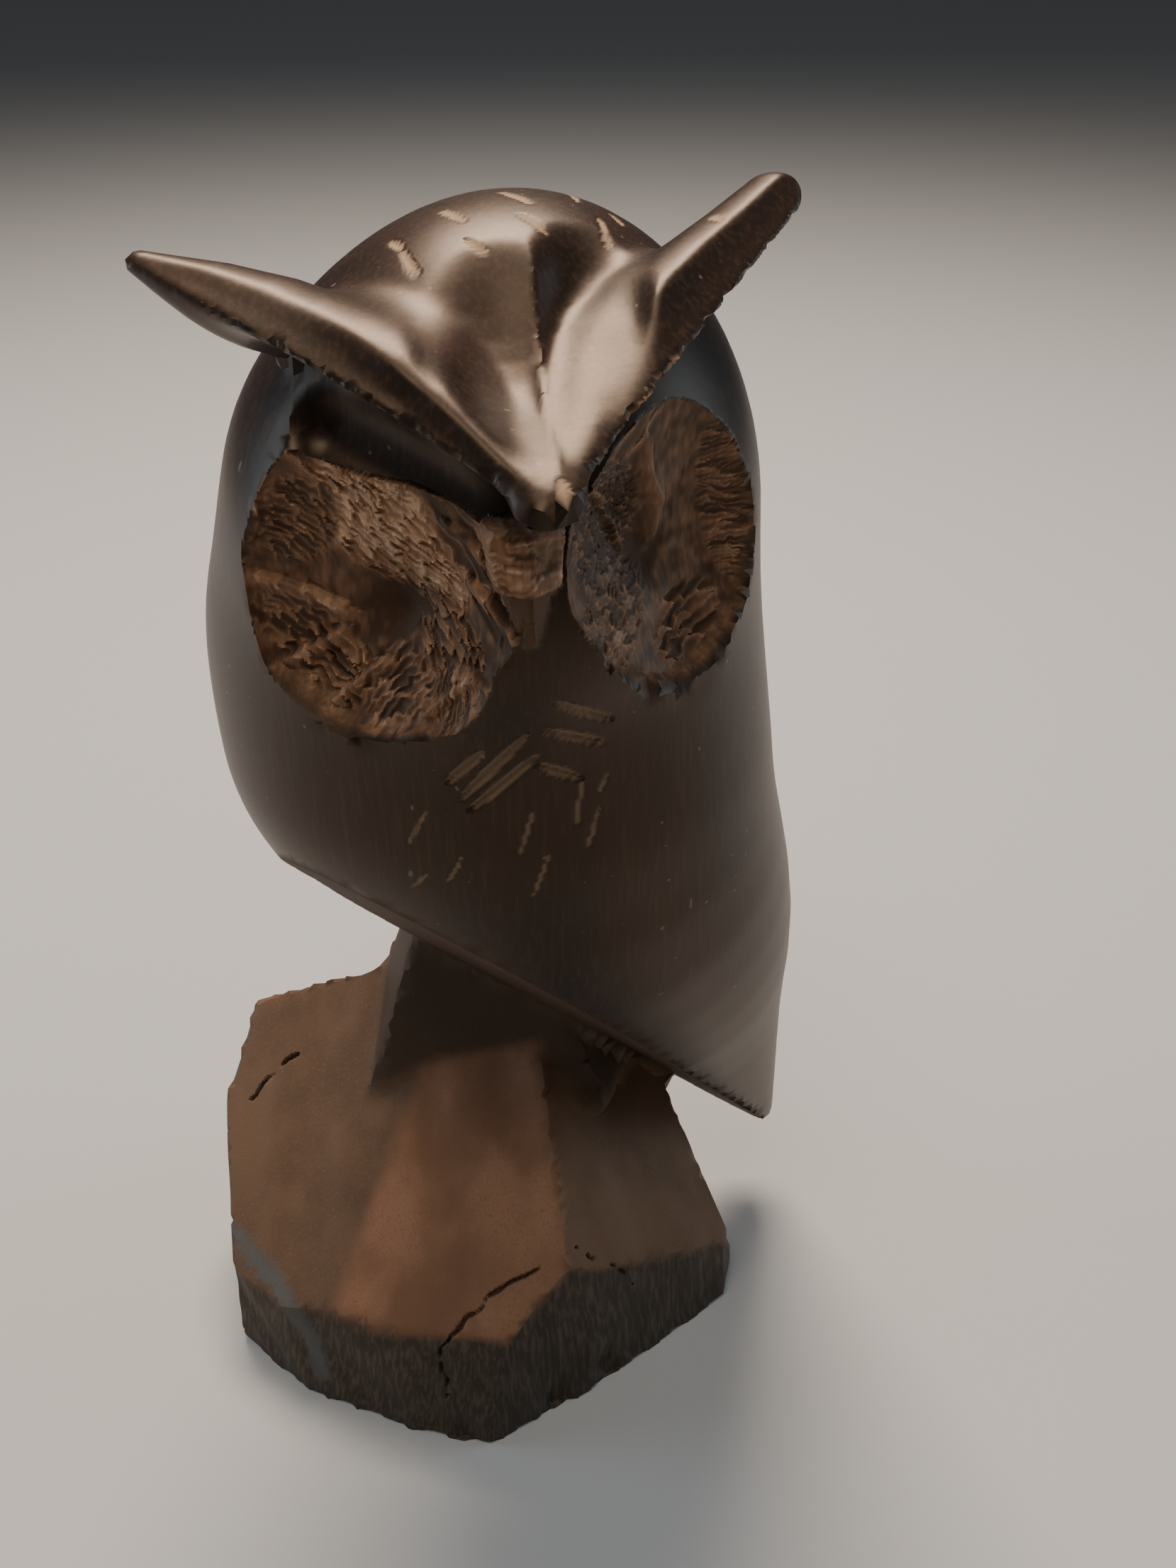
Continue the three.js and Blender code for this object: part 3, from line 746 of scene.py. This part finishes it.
def mark_reach(p, mark):
    """How far off a knife mark each point is. It is 1 at the edge of the mark, which has thin ends."""
    a, b, width, _ = mark
    t, off = off_line(p, a, b)
    return off / (width * np.sqrt(np.maximum(1 - (2 * t - 1) ** 2, 0.02)))


def line_reach(p, listed):
    """How far off a line of several marks each point is. It is 1 at the edge of the line."""
    nearest = np.full(len(p), 99.0)
    for a, b, width, _ in listed:
        nearest = np.minimum(nearest, off_line(p, a, b)[1] / width)
    return nearest


def near_marks(p, listed, margin):
    close = np.zeros(len(p), bool)
    for a, b, width, _ in listed:
        middle = (a + b) / 2
        close |= np.linalg.norm(p - middle, axis=1) < np.linalg.norm(b - a) / 2 + width + margin
    return close


# %% [markdown]
# Places that carry fine marks are split up to three times. Each is told by its distance from a
# feature: the discs, the beak, the tufts and scoops, the walls of the block, the cracks and nicks.
# The thin lower edges of the tufts start soft and get sharper as the skin gets finer, because a
# coarse skin tears on a sharp edge.

# %% Which faces carry marks
def in_disc(p, disc, margin):
    place, r, radius = disc_reach(p, disc)
    return (r < radius + margin) & (np.abs(place[:, 2] + 3) < 8)


def near_beak(p):
    face = face_frame(p)
    beside = np.abs(face[:, 0] - BEAK_MIDDLE) < 9
    return beside & (face[:, 2] > 146) & (face[:, 2] < 170) & (face[:, 1] > 24)


def near_tuft(p, reach):
    """The flat fronts with their edges, and the thin ends of the tufts."""
    close = np.zeros(len(p), bool)
    for tuft in TUFTS:
        at = tuft_section(p, tuft)
        in_front = (np.abs(at["facet"]) < reach) & (np.abs(at["oval"]) < 2 * reach)
        close |= in_front & (at["chord"] > -0.25) & (at["chord"] < 1.2)
        close |= (at["s"] < 0.25) & (at["oval"] < reach)
    return close


def on_forehead(p):
    """The scoops, the crest between them and the tip of the brow."""
    return (p[:, 2] > 163) & (p[:, 1] < -6) & (p[:, 0] > -6) & (p[:, 0] < 30)


def near_crest(p):
    left, right = [ball_row(p, *row) for row in SCOOP_ROWS]
    return (np.abs(left - right) < 0.9) & (np.minimum(left, right) < 2) & (p[:, 2] > 166)


def on_front_wall(p):
    return (p[:, 2] < 15) & (p[:, 1] < 8) & (p[:, 2] > 0.3)


def first_choice(p):
    """Everything that carries marks, and what lies round it."""
    chosen = in_disc(p, LEFT_DISC, 1.2) | in_disc(p, RIGHT_DISC, 1.2) | near_beak(p)
    chosen |= near_marks(p, KNIFE_MARKS + FLECKS, 0.8) | (line_reach(p, CRACKS) < 5)
    return chosen | on_front_wall(p) | near_tuft(p, 2) | on_forehead(p)


def second_choice(p):
    """The marks themselves, and the sharp edges of the head."""
    chosen = in_disc(p, LEFT_DISC, 0.5) | in_disc(p, RIGHT_DISC, 0.5) | near_beak(p)
    chosen |= near_marks(p, KNIFE_MARKS + FLECKS, 0.3) | (line_reach(p, CRACKS) < 3)
    return chosen | near_tuft(p, 0.9) | near_crest(p)


def third_choice(p):
    """The chiselled floors. The top of the right one is plain, so it is left out."""
    return in_disc(p, LEFT_DISC, -0.8) | (in_disc(p, RIGHT_DISC, -0.8) & (p[:, 2] < 172))


# %% Split the faces where marks are
def face_middles():
    corners = points()
    return np.array([corners[list(f.vertices)].mean(axis=0) for f in carving.data.polygons])


def split(chosen):
    """Subdivides the chosen faces as by hand, in edit mode."""
    carving.data.polygons.foreach_set("select", chosen)
    carving.data.edges.foreach_set("select", np.zeros(len(carving.data.edges), bool))
    carving.data.vertices.foreach_set("select", np.zeros(len(carving.data.vertices), bool))
    bpy.ops.object.mode_set(mode="EDIT")
    bpy.ops.mesh.select_mode(type="FACE")
    bpy.ops.mesh.subdivide(number_cuts=1)
    bpy.ops.object.mode_set(mode="OBJECT")
    print("split to", len(carving.data.polygons), "faces")


split(first_choice(face_middles()))
SOFT["edge"] = 1.3
set_points(draw_on(points(), 3))
split(second_choice(face_middles()))
SOFT["edge"] = 1.0
set_points(draw_on(points(), 2))
split(third_choice(face_middles()))
carving.data.calc_loop_triangles()
print("skin has", len(carving.data.loop_triangles), "triangles")
skin = on_edges(draw_on(points(), 4))
print("skin lies within", np.abs(wood(skin)).max().round(2), "mm of the form")

# %% [markdown]
# The tool marks are heights over the skin: a point is moved along the way out of the wood. In the
# discs that way is the disc's own axis. Chips come in rows, each hollow across and raised at its
# torn end. Soft noise bends the rows and shifts the chips, always from the same seed, so that no
# two are in line.

# %% Rows of chips
def scatter(row, seed):
    """A number from 0 to 1 for each whole number, always the same."""
    return np.modf(np.abs(np.sin(row * 127.1 + seed * 311.7) * 43758.5453))[0]


def soft_noise(x, y, seed):
    """A smooth random surface, one bump for each whole number."""
    ix, iy = np.floor(x), np.floor(y)
    fx, fy = smooth(x - ix), smooth(y - iy)
    def corner(a, b):
        return scatter((ix + a) * 57 + (iy + b) * 131, seed)
    low = corner(0, 0) * (1 - fx) + corner(1, 0) * fx
    high = corner(0, 1) * (1 - fx) + corner(1, 1) * fx
    return (low * (1 - fy) + high * fy) * 2 - 1


def turned(u, v, degrees):
    """Along and across a direction."""
    turn = radians(degrees)
    return u * np.cos(turn) + v * np.sin(turn), -u * np.sin(turn) + v * np.cos(turn)


def chips(u, v, along, pitch, length, seed):
    """Rows of gouge chips, hollow and raised at their torn end, and how pale each one is. The tone
    varies at random from chip to chip; it is paler at the raised torn end, partly as torn fibre and
    partly as painted light, and darker across the hollow as painted shade.
    """
    t, s = turned(u, v, along)
    bend = 0.45 * pitch * soft_noise(t * 1.1 / pitch, s * 0.6 / pitch, seed)
    s = s + bend + 0.5 * soft_noise(t * 0.3, s * 0.3, seed + 1)
    t = t + 0.9 * pitch * soft_noise(t * 0.7 / pitch, s * 1.4 / pitch, seed + 2)
    row = np.floor(s / pitch)
    across = s / pitch - row
    place = t / length + scatter(row, seed) * 3 + 0.3 * (across - 0.5)
    cell = np.floor(place)
    tear = place - cell
    size = 0.55 + 0.45 * scatter(row * 13 + cell, seed + 5)
    height = size * (0.6 * tear ** 2 - 0.55 * (1 - (2 * across - 1) ** 2))
    # Paler at the raised torn end: partly torn fibre, partly painted light.
    pale = 0.25 + 0.4 * scatter(row * 7 + cell * 3, seed + 9) + 0.5 * tear ** 4
    # Darker across the hollow of each chip: painted shade.
    return height, pale - 0.1 - 0.3 * (1 - (2 * across - 1) ** 2)


# %% [markdown]
# Each disc has patches of chips, seams between them, and lumps or pits. Each starts with its pixels in
# the photograph, and the rest is in millimetres. A patch goes on with its size along and across the
# strokes, their direction in degrees, the pitch and length of a chip, its depth, and a shift of its
# tone that is painted light where it is above zero and painted shade where it is below. A seam goes on
# with its wide side, its steep side and its height, and a lump with its size and height. Raised seams
# and lumps are painted paler, and pits and sunk seams darker, as painted light and shade.

# %% Tool marks of the discs
def patch_weight(place, disc, pixel, size, along):
    """1 in the middle of a patch, and 0 outside its oval."""
    off = place[:, :2] - disc_pixels([pixel], disc)
    a, b = turned(*off.T, along)
    a, b = a / size[0], b / size[1]
    return smooth((1.15 - np.sqrt(a * a + b * b)) / 0.3)


def seam_height(place, disc, pixels, wide, steep, high):
    """A raised seam between two cuts, steep on one side."""
    height = np.zeros(len(place))
    for a, b in steps(disc_pixels(pixels, disc)):
        ab = b - a
        t = np.clip((place[:, :2] - a) @ ab / (ab @ ab), 0, 1)
        off = place[:, :2] - a - t[:, None] * ab
        side = (off[:, 0] * ab[1] - off[:, 1] * ab[0]) > 0
        reach = np.where(side, wide, steep)
        height = np.maximum(height, high * smooth(1 - np.linalg.norm(off, axis=1) / reach))
    return height


# The last number of each patch is a painted light shift: above zero it paints light, below zero it
# paints shade.
LEFT_DISC["patches"] = [
    ((520, 690), (18, 7), -20, 2.6, 9, 0.35, 0),
    ((525, 770), (11, 7), -33, 0.95, 3.2, 0.75, 0.4),
    ((400, 740), (4.5, 6), -35, 0.9, 3.0, 0.5, 0),
    ((405, 880), (5, 5), -40, 1.2, 3.5, 0.5, 0),
    ((462, 952), (5.6, 4.2), -33, 1.35, 6.5, 0.95, 0),
    ((545, 985), (5.5, 4.5), 60, 1.0, 4, 0.6, 0),
    ((610, 925), (6, 4.5), -50, 1.0, 3.2, 0.7, 0),
    ((636, 1003), (4.2, 3.8), -86, 0.55, 9, 0.35, 0),
    ((676, 840), (11, 4.2), -52, 1.6, 14, 0.5, -0.2),
    ((665, 730), (6, 3.5), -45, 1.3, 9, 0.4, 0),
]
LEFT_DISC["seams"] = [
    ([(352, 808), (395, 833), (461, 873)], 2.6, 0.6, 1.1),
    ([(388, 939), (425, 922), (461, 904)], 2.0, 0.6, 0.9),
    ([(455, 1002), (485, 975), (522, 948)], 1.8, 0.6, 0.8),
    ([(618, 757), (660, 790), (712, 800)], 2.4, 0.7, 0.9),
    ([(650, 840), (690, 880), (737, 922)], 2.2, 0.7, 1.2),
    ([(622, 970), (655, 965), (690, 985)], 1.2, 0.5, 0.7),
    ([(595, 1010), (625, 985), (650, 972)], 1.5, 0.5, 0.7),
]
LEFT_DISC["lumps"] = [
    ((535, 765), 6.5, 1.7), ((530, 868), 4.2, -2.2),
    ((436, 632), 3, -0.4), ((680, 950), 3, -0.9),
]
RIGHT_DISC["patches"] = [
    ((895, 620), (14, 7), 55, 3.2, 16, 0.35, 0),
    ((895, 760), (6.5, 8), 10, 0.8, 2.2, 0.45, 0),
    ((1045, 700), (2.6, 11), 8, 0.7, 5, 0.3, 0),
    ((880, 890), (9, 5), 20, 0.9, 2.4, 0.55, 0),
    ((985, 885), (6, 3.5), 30, 1.5, 5, 0.85, 0),
]
RIGHT_DISC["seams"] = [
    ([(958, 640), (965, 690), (980, 722), (972, 770)], 2.4, 0.8, 1.0),
    ([(990, 700), (1030, 716), (1066, 735)], 0.8, 0.8, -1.0),
    ([(980, 828), (1010, 840), (1037, 850)], 0.8, 0.8, -0.9),
    ([(850, 695), (900, 720), (925, 760), (935, 800)], 1.2, 0.5, 0.5),
]
RIGHT_DISC["lumps"] = [
    ((905, 755), 5.5, -1.7), ((945, 815), 3.5, -1.2),
    ((975, 700), 3, 0.7), ((900, 900), 5, 0.8),
]
for disc in DISCS:
    print("disc with", len(disc["patches"]), "patches and", len(disc["seams"]), "seams")

# %% Cut the discs
FLOOR_NEAR = 0.12


def floor_relief(place, disc):
    """Heights of the tool marks, and how pale the wood is, with painted light on raised chips, seams
    and lumps and painted shade in hollows and pits.
    """
    u, v = place[:, 0], place[:, 1]
    height = 0.12 * soft_noise(u * 0.45, v * 0.45, 3)
    pale = 0.2 + 0.12 * soft_noise(u * 0.8, v * 0.8, 4) + 0.1 * soft_noise(u * 2.6, v * 0.9, 5)
    for number, (pixel, size, along, pitch, length, deep, painted_light_shift) in enumerate(disc["patches"]):
        weight = patch_weight(place, disc, pixel, size, along)
        cut, tone = chips(u, v, along, pitch, length, number + 1)
        height = height * (1 - weight) + deep * cut * weight
        pale = pale * (1 - weight) + (tone + painted_light_shift) * weight
    for pixel, size, high in disc["lumps"]:
        middle = disc_pixels([pixel], disc)[0]
        swell = high * np.exp(-((u - middle[0]) ** 2 + (v - middle[1]) ** 2) / size ** 2)
        height += swell
        # Lumps are painted paler and pits darker: painted light and painted shade.
        pale += 0.17 * swell
    for seam in disc["seams"]:
        rise = seam_height(place, disc, *seam)
        height += rise
        # Raised seams are painted paler and sunk ones darker: painted light and painted shade.
        pale += 0.3 * rise
    return height, pale


def cut_floor(p, disc):
    """Moves the points in a disc by its tool marks. Gives them, how raw each is, and how pale each is
    with the painted light and shade of the chips, seams and lumps.
    """
    place, r, radius = disc_reach(p, disc)
    cover = only(p[:, 2] > HEAD_FROM, tufts, p)
    on_floor = (np.abs(disc_hollow(p, disc, cover)) < FLOOR_NEAR) & (r < radius + 1.5)
    fade = smooth((radius - r) / 0.8 + 0.25)
    raw = np.where(on_floor, smooth((radius + 1.1 - r) / 0.5), 0)
    height, pale = floor_relief(place, disc)
    height = np.where(on_floor, height * fade, 0)
    return p + disc["axes"][2] * height[:, None], raw, raw * pale


# The tone of the chiselled floors holds painted light on raised chips, seams and lumps, and painted
# shade in hollows and pits.
skin, left_raw, left_pale = cut_floor(skin, LEFT_DISC)
skin, right_raw, right_pale = cut_floor(skin, RIGHT_DISC)
raw_floor = np.maximum(left_raw, right_raw)
pale_floor = np.maximum(left_pale, right_pale)

# %% Strokes on the bridge
BRIDGE_FROM = 157.2
BRIDGE_DEEP = 0.45
face = face_frame(skin)
on_beak = (beak_form(skin) < 0.15) & (face[:, 1] > 26)
strokes, tone = chips(face[:, 0], face[:, 2], along=4, pitch=0.9, length=4.5, seed=31)
bridge = on_beak & (face[:, 2] > BRIDGE_FROM)
skin[:, 1] -= np.where(bridge, BRIDGE_DEEP * strokes, 0)
raw_floor = np.where(on_beak, 1, raw_floor)
# The tone of the bridge's chips holds painted light on their raised ends and painted shade in their
# hollows.
pale_floor = np.where(bridge, tone + 0.2, np.where(on_beak, 0.12, pale_floor))
print("raw floor points", int((raw_floor > 0.5).sum()))

# %% [markdown]
# A nick is deepest along its middle and fresh wood shows in it. The knife marks in the chest are
# darker than the flecks on the head. The way out of the wood is its slope, as before.

# %% Nicks in the chest and flecks on the head
KNIFE_FRESH = 0.55
out = slope(wood, skin)[1]
out /= np.maximum(np.linalg.norm(out, axis=1), 1e-6)[:, None]
fresh = np.zeros(len(skin))
for number, mark in enumerate(KNIFE_MARKS + FLECKS):
    reach = mark_reach(skin, mark)
    strength = KNIFE_FRESH if number < len(KNIFE_MARKS) else 1
    fresh = np.maximum(fresh, smooth((1.12 - reach) / 0.3) * strength)
    skin = skin - out * (mark[3] * np.maximum(1 - reach, 0) ** 0.8)[:, None]
print("fresh cut points", int((fresh > 0.5).sum()))

# %% [markdown]
# The block was split and sawn, never smoothed. Its faces swell and dip by half a millimetre, cracks
# run over its front and left edge, and its foot is notched. The underside stays flat, and points
# below FOOT move only sideways, because the block stands there.

# %% Cracks, notches and unevenness of the block
CRACK_DEEP = 0.7
CRACK_WANDER = 0.6
SWELL = 0.5
RIPPLE = 0.22
NOTCH_DEEP = 0.42
FOOT = 3
wander = np.stack([soft_noise(skin[:, 2] / 2, skin[:, k] / 2, 41 + k) for k in range(3)], axis=1)
gap = 0.5 + 0.5 * soft_noise(skin[:, 0] / 2.5, skin[:, 2] / 2.5, 45)
crack = smooth((0.7 + 0.8 * gap - line_reach(skin + CRACK_WANDER * wander, CRACKS)) / 0.6)
slick = smooth((1.25 - line_reach(skin, SLICK)) / 0.4)
block_skin = np.abs(block_cuts(skin).max(axis=0)) < 0.2
x, y, z = skin.T
uneven = SWELL * soft_noise(x / 9 + z / 14, y / 9 - z / 11, 21)
uneven += RIPPLE * soft_noise(x / 3.1 + z / 5, y / 3.1 - z / 4, 22)
inner = block_skin & (z > 1)
sink = np.where(inner, uneven * smooth((z - 0.5) / 4), 0) + CRACK_DEEP * crack * block_skin
for middle, size in NOTCHES:
    off = skin - middle
    r = np.linalg.norm(off * (1, 1, 0.4), axis=1)
    sink += np.where(block_skin, NOTCH_DEEP * size * smooth(1 - r / size), 0)
upright = np.where(np.abs(out[:, 2:]) > 0.95, 0, 1)
free = upright * np.where(skin[:, 2:] < FOOT, (1, 1, 0), 1)
skin = skin - out * free * sink[:, None]
print("deepest dent in the block", sink.max().round(1), "mm")
set_points(skin)

# %% [markdown]
# The material needs to know where the wood was polished, chiselled, sawn or freshly nicked, and where
# shade is painted: the neck gets painted shade, and the tone of the chiselled floors holds painted
# light and shade. That is kept with the points as attributes, worked out from the same form, so colour
# and shape always agree.

# %% Where each finish is
owl_there = owl_cuts(skin)
block_there = np.minimum(block_cuts(skin).max(axis=0), neck_form(skin))
sawn = smooth((owl_there.max(axis=0) - block_there) / 0.6)
under = smooth((np.maximum(owl_there[1], owl_there[2]) + 0.25) / 0.3) * (1 - sawn)
planes = block_cuts(skin)
slopes, walls = planes[:FIRST_WALL].max(axis=0), planes[FIRST_WALL : LAST_WALL + 1].max(axis=0)
beside = np.maximum(planes[LEFT_SLOPE], planes[RIGHT_SLOPE])
FINISHES = {
    "raw": raw_floor, "pale": pale_floor, "fresh": fresh, "sawn": sawn, "under": under,
    "crack": crack, "slick": slick,
    "wall": smooth((walls - slopes) / 0.8),
    "centre": smooth((planes[CENTRE_SLOPE] - beside + 0.3) / 0.6),
    # The neck lies in deep shade between owl and block; this mask sets its painted shade.
    "neck": smooth((planes.max(axis=0) - neck_form(skin)) / 2),
}
for name, values in FINISHES.items():
    layer = carving.data.attributes.new(name, "FLOAT", "POINT")
    layer.data.foreach_set("value", np.clip(values, 0, 1).astype(np.float32))
    print(name, "on", round(100 * float((values > 0.5).mean()), 1), "% of the points")
carving.data.update()

# %% [markdown]
# Ironwood is nearly black when it is polished, with fine grain that runs up the block, and it is a
# dull red-brown where it was only sawn. One material carries all finishes and mixes them by the
# attributes. The shader class lets the colours be written as sums and products.

# %% A short hand for shader nodes
OBJECT_PLACE = 3
ATTRIBUTE_VALUE = 2
MIX_A, MIX_B, MIX_RESULT = 6, 7, 2


class Sock:
    def __init__(self, tree, socket):
        self.tree = tree
        self.socket = socket

    def math(self, operation, other, swap=False):
        first, second = (other, self) if swap else (self, other)
        return node(self.tree, "ShaderNodeMath", {"operation": operation}, {0: first, 1: second})

    def __add__(self, other):
        return self.math("ADD", other)

    def __radd__(self, other):
        return self.math("ADD", other, True)

    def __rsub__(self, other):
        return self.math("SUBTRACT", other, True)

    def __mul__(self, other):
        return self.math("MULTIPLY", other)

    def __rmul__(self, other):
        return self.math("MULTIPLY", other, True)


def node(tree, kind, settings=None, inputs=None, output=0):
    made = tree.nodes.new(kind)
    for name, value in (settings or {}).items():
        setattr(made, name, value)
    for name, value in (inputs or {}).items():
        if isinstance(value, Sock):
            tree.links.new(value.socket, made.inputs[name])
        else:
            made.inputs[name].default_value = value
    return Sock(tree, made.outputs[output] if made.outputs else None)


def step_up(value, low, high):
    """0 below low, 1 above high, smooth in between."""
    return node(value.tree, "ShaderNodeMapRange", {"interpolation_type": "SMOOTHSTEP"},
                {"Value": value, "From Min": low, "From Max": high})


def tint(factor, a, b):
    inputs = {"Factor": factor, MIX_A: a, MIX_B: b}
    return node(factor.tree, "ShaderNodeMix", {"data_type": "RGBA"}, inputs, MIX_RESULT)


def larger(a, b):
    return a.math("MAXIMUM", b)


def wood_noise(place, scale, stretch, detail=4, rough=0.55):
    """Noise in the wood, with sizes in marks per millimetre and drawn out along the grain."""
    mapped = node(place.tree, "ShaderNodeMapping", None,
                  {"Vector": place, "Scale": (scale / MM, scale / MM, scale / MM / stretch)})
    return node(place.tree, "ShaderNodeTexNoise", None,
                {"Vector": mapped, "Scale": 1.0, "Detail": detail, "Roughness": rough})


def colour(red, green, blue):
    return (red, green, blue, 1)


# %% [markdown]
# Most colours come in a dark and a light one, between which the grain or a broader figure chooses.

# %% Colours of the wood
POLISHED = (colour(0.010, 0.006, 0.005), colour(0.024, 0.011, 0.008))
GRAIN_LINE = colour(0.060, 0.030, 0.019)
DUST = colour(0.30, 0.27, 0.24)
# The chiselled pair and the torn colour are chosen by the tone: the dark end is also painted shade in
# chip hollows and pits, the light end and the torn colour also painted light on raised chips, seams
# and the bulge.
CHISELLED = (colour(0.040, 0.020, 0.012), colour(0.28, 0.150, 0.085))
TORN_AND_PAINTED_LIGHT = colour(0.58, 0.37, 0.24)
DARK_FIBRE = colour(0.05, 0.024, 0.014)
SLOPE = (colour(0.085, 0.052, 0.034), colour(0.125, 0.076, 0.048))
RED_SLOPE = (colour(0.17, 0.088, 0.053), colour(0.27, 0.145, 0.090))
PORE = colour(0.17, 0.082, 0.048)
SPECK = colour(0.022, 0.011, 0.008)
WALL = (colour(0.034, 0.030, 0.026), colour(0.085, 0.068, 0.054))
UNDERSIDE = (colour(0.035, 0.019, 0.014), colour(0.05, 0.028, 0.020))
SLICK_GREY = colour(0.075, 0.080, 0.082)
PAINTED_NECK_SHADE = colour(0.050, 0.034, 0.026)
CRACK_DARK = colour(0.010, 0.006, 0.004)
FRESH = colour(0.34, 0.235, 0.15)
SHEEN = colour(1, 0.74, 0.54)


# %% Ironwood
def polished_colour(place, grain, figure):
    base = tint(step_up(figure, 0.35, 0.7), *POLISHED)
    base = tint(step_up(grain, 0.45, 0.72) * 0.45, base, GRAIN_LINE)
    dust = wood_noise(place, 0.9, 1, 0)
    return tint(step_up(dust, 0.83, 0.86) * 0.3, base, DUST)


def chiselled_colour(pale, grain):
    # The tone carries painted light and shade as well as the wood's own variation.
    base = tint(step_up(pale, 0.0, 0.5), *CHISELLED)
    base = tint(step_up(pale, 0.45, 1.0), base, TORN_AND_PAINTED_LIGHT)
    return tint(step_up(grain, 0.35, 0.6) * 0.35, base, DARK_FIBRE)


def block_colour(mask, grain, figure, pores, speck):
    light = step_up(figure, 0.38, 0.64)
    base = tint(mask["centre"], tint(light, *SLOPE), tint(light, *RED_SLOPE))
    base = tint(step_up(pores, 0.52, 0.7) * 0.5, base, PORE)
    base = tint(step_up(speck, 0.6, 0.75) * 0.45, base, SPECK)
    side = tint(step_up(grain, 0.4, 0.7), *WALL)
    base = tint(mask["wall"], base, side)
    base = tint(mask["slick"], base, SLICK_GREY)
    # The dark neck colour is painted shade.
    base = tint(mask["neck"], base, PAINTED_NECK_SHADE)
    return tint(mask["crack"] * 0.8, base, CRACK_DARK)


def ironwood():
    material = bpy.data.materials.new("ironwood")
    material.use_nodes = True
    tree = material.node_tree
    tree.nodes.clear()
    place = node(tree, "ShaderNodeTexCoord", None, None, OBJECT_PLACE)
    mask = {name: node(tree, "ShaderNodeAttribute", {"attribute_name": name}, None, ATTRIBUTE_VALUE)
            for name in FINISHES}
    grain = wood_noise(place, 1.6, 14)
    figure = wood_noise(place, 0.06, 3, 3)
    pores = wood_noise(place, 2.4, 1.6, 2)
    speck = wood_noise(place, 5.5, 2.5, 2)

    band = tint(step_up(figure, 0.4, 0.6), *UNDERSIDE)
    shade = tint(mask["under"], polished_colour(place, grain, figure), band)
    shade = tint(mask["raw"], shade, chiselled_colour(mask["pale"], grain))
    shade = tint(mask["sawn"], shade, block_colour(mask, grain, figure, pores, speck))
    shade = tint(mask["fresh"], shade, FRESH)

    dull = larger(mask["raw"], mask["sawn"])
    dull = larger(larger(dull, mask["fresh"]), mask["under"])
    rough = 0.34 + 0.08 * grain + dull * (0.32 - 0.12 * mask["raw"])
    height = (0.25 + dull * 0.75) * grain + dull * pores * 0.8
    bump_sizes = {"Strength": 0.35, "Distance": 0.12 * MM, "Height": height}
    bump = node(tree, "ShaderNodeBump", None, bump_sizes)

    feeds = {"Base Color": shade, "Roughness": rough, "Normal": bump}
    shader = node(tree, "ShaderNodeBsdfPrincipled", None, feeds)
    shader.socket.node.inputs["IOR"].default_value = 1.47
    shader.socket.node.inputs["Specular Tint"].default_value = SHEEN
    node(tree, "ShaderNodeOutputMaterial", None, {"Surface": shader})
    print("ironwood has", len(tree.nodes), "nodes")
    return material


carving.data.materials.append(ironwood())
bpy.ops.object.shade_smooth_by_angle(angle=radians(32))
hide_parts("ironwood_owl")
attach(carving, "root")

# %% [markdown]
# A plain pale floor and soft light, as in a studio. A warm lamp high behind the owl gives the broad
# sheen on its head, a weaker one in front lifts the brow, and two cool ones fill the sides.

# %% Floor and light
bpy.ops.object.select_all(action="DESELECT")
bpy.ops.mesh.primitive_plane_add(size=6, location=(0, 0, 0))
floor = bpy.context.active_object
floor.name = "floor"
pale = bpy.data.materials.new("pale_floor")
pale.use_nodes = True
matte = pale.node_tree.nodes["Principled BSDF"]
matte.inputs["Base Color"].default_value = colour(0.50, 0.51, 0.52)
matte.inputs["Roughness"].default_value = 0.8
floor.data.materials.append(pale)


OWL_MIDDLE = (0, 0, 0.12)
OWL_LOW = (0, 0, 0.1)
SIDE_SIZE = (0.35, 0.6)
WARM = (1.0, 0.82, 0.66)
SOFT_WARM = (1.0, 0.88, 0.74)
COOL = (0.66, 0.84, 1.0)


def lamp(name, place, aim, size, power, shade):
    data = bpy.data.lights.new(name, "AREA")
    data.shape = "RECTANGLE"
    data.size, data.size_y = size
    data.energy = power
    data.color = shade
    made = bpy.data.objects.new(name, data)
    bpy.context.collection.objects.link(made)
    made.location = place
    made.rotation_euler = (Vector(aim) - Vector(place)).to_track_quat("-Z", "Y").to_euler()
    print(name, "lamp:", power, "W")


lamp("behind", (-0.05, 0.42, 0.85), OWL_MIDDLE, (0.42, 0.28), 12, WARM)
lamp("above", (-0.12, -0.32, 0.98), OWL_MIDDLE, (0.4, 0.28), 3, SOFT_WARM)
lamp("left", (-0.75, 0.05, 0.28), OWL_LOW, SIDE_SIZE, 1.8, COOL)
lamp("right", (0.75, 0.15, 0.28), OWL_LOW, SIDE_SIZE, 1.8, COOL)
world = bpy.data.worlds.new("room")
bpy.context.scene.world = world
world.use_nodes = True
sky = world.node_tree.nodes["Background"]
sky.inputs["Color"].default_value = colour(0.62, 0.66, 0.70)
sky.inputs["Strength"].default_value = 0.1
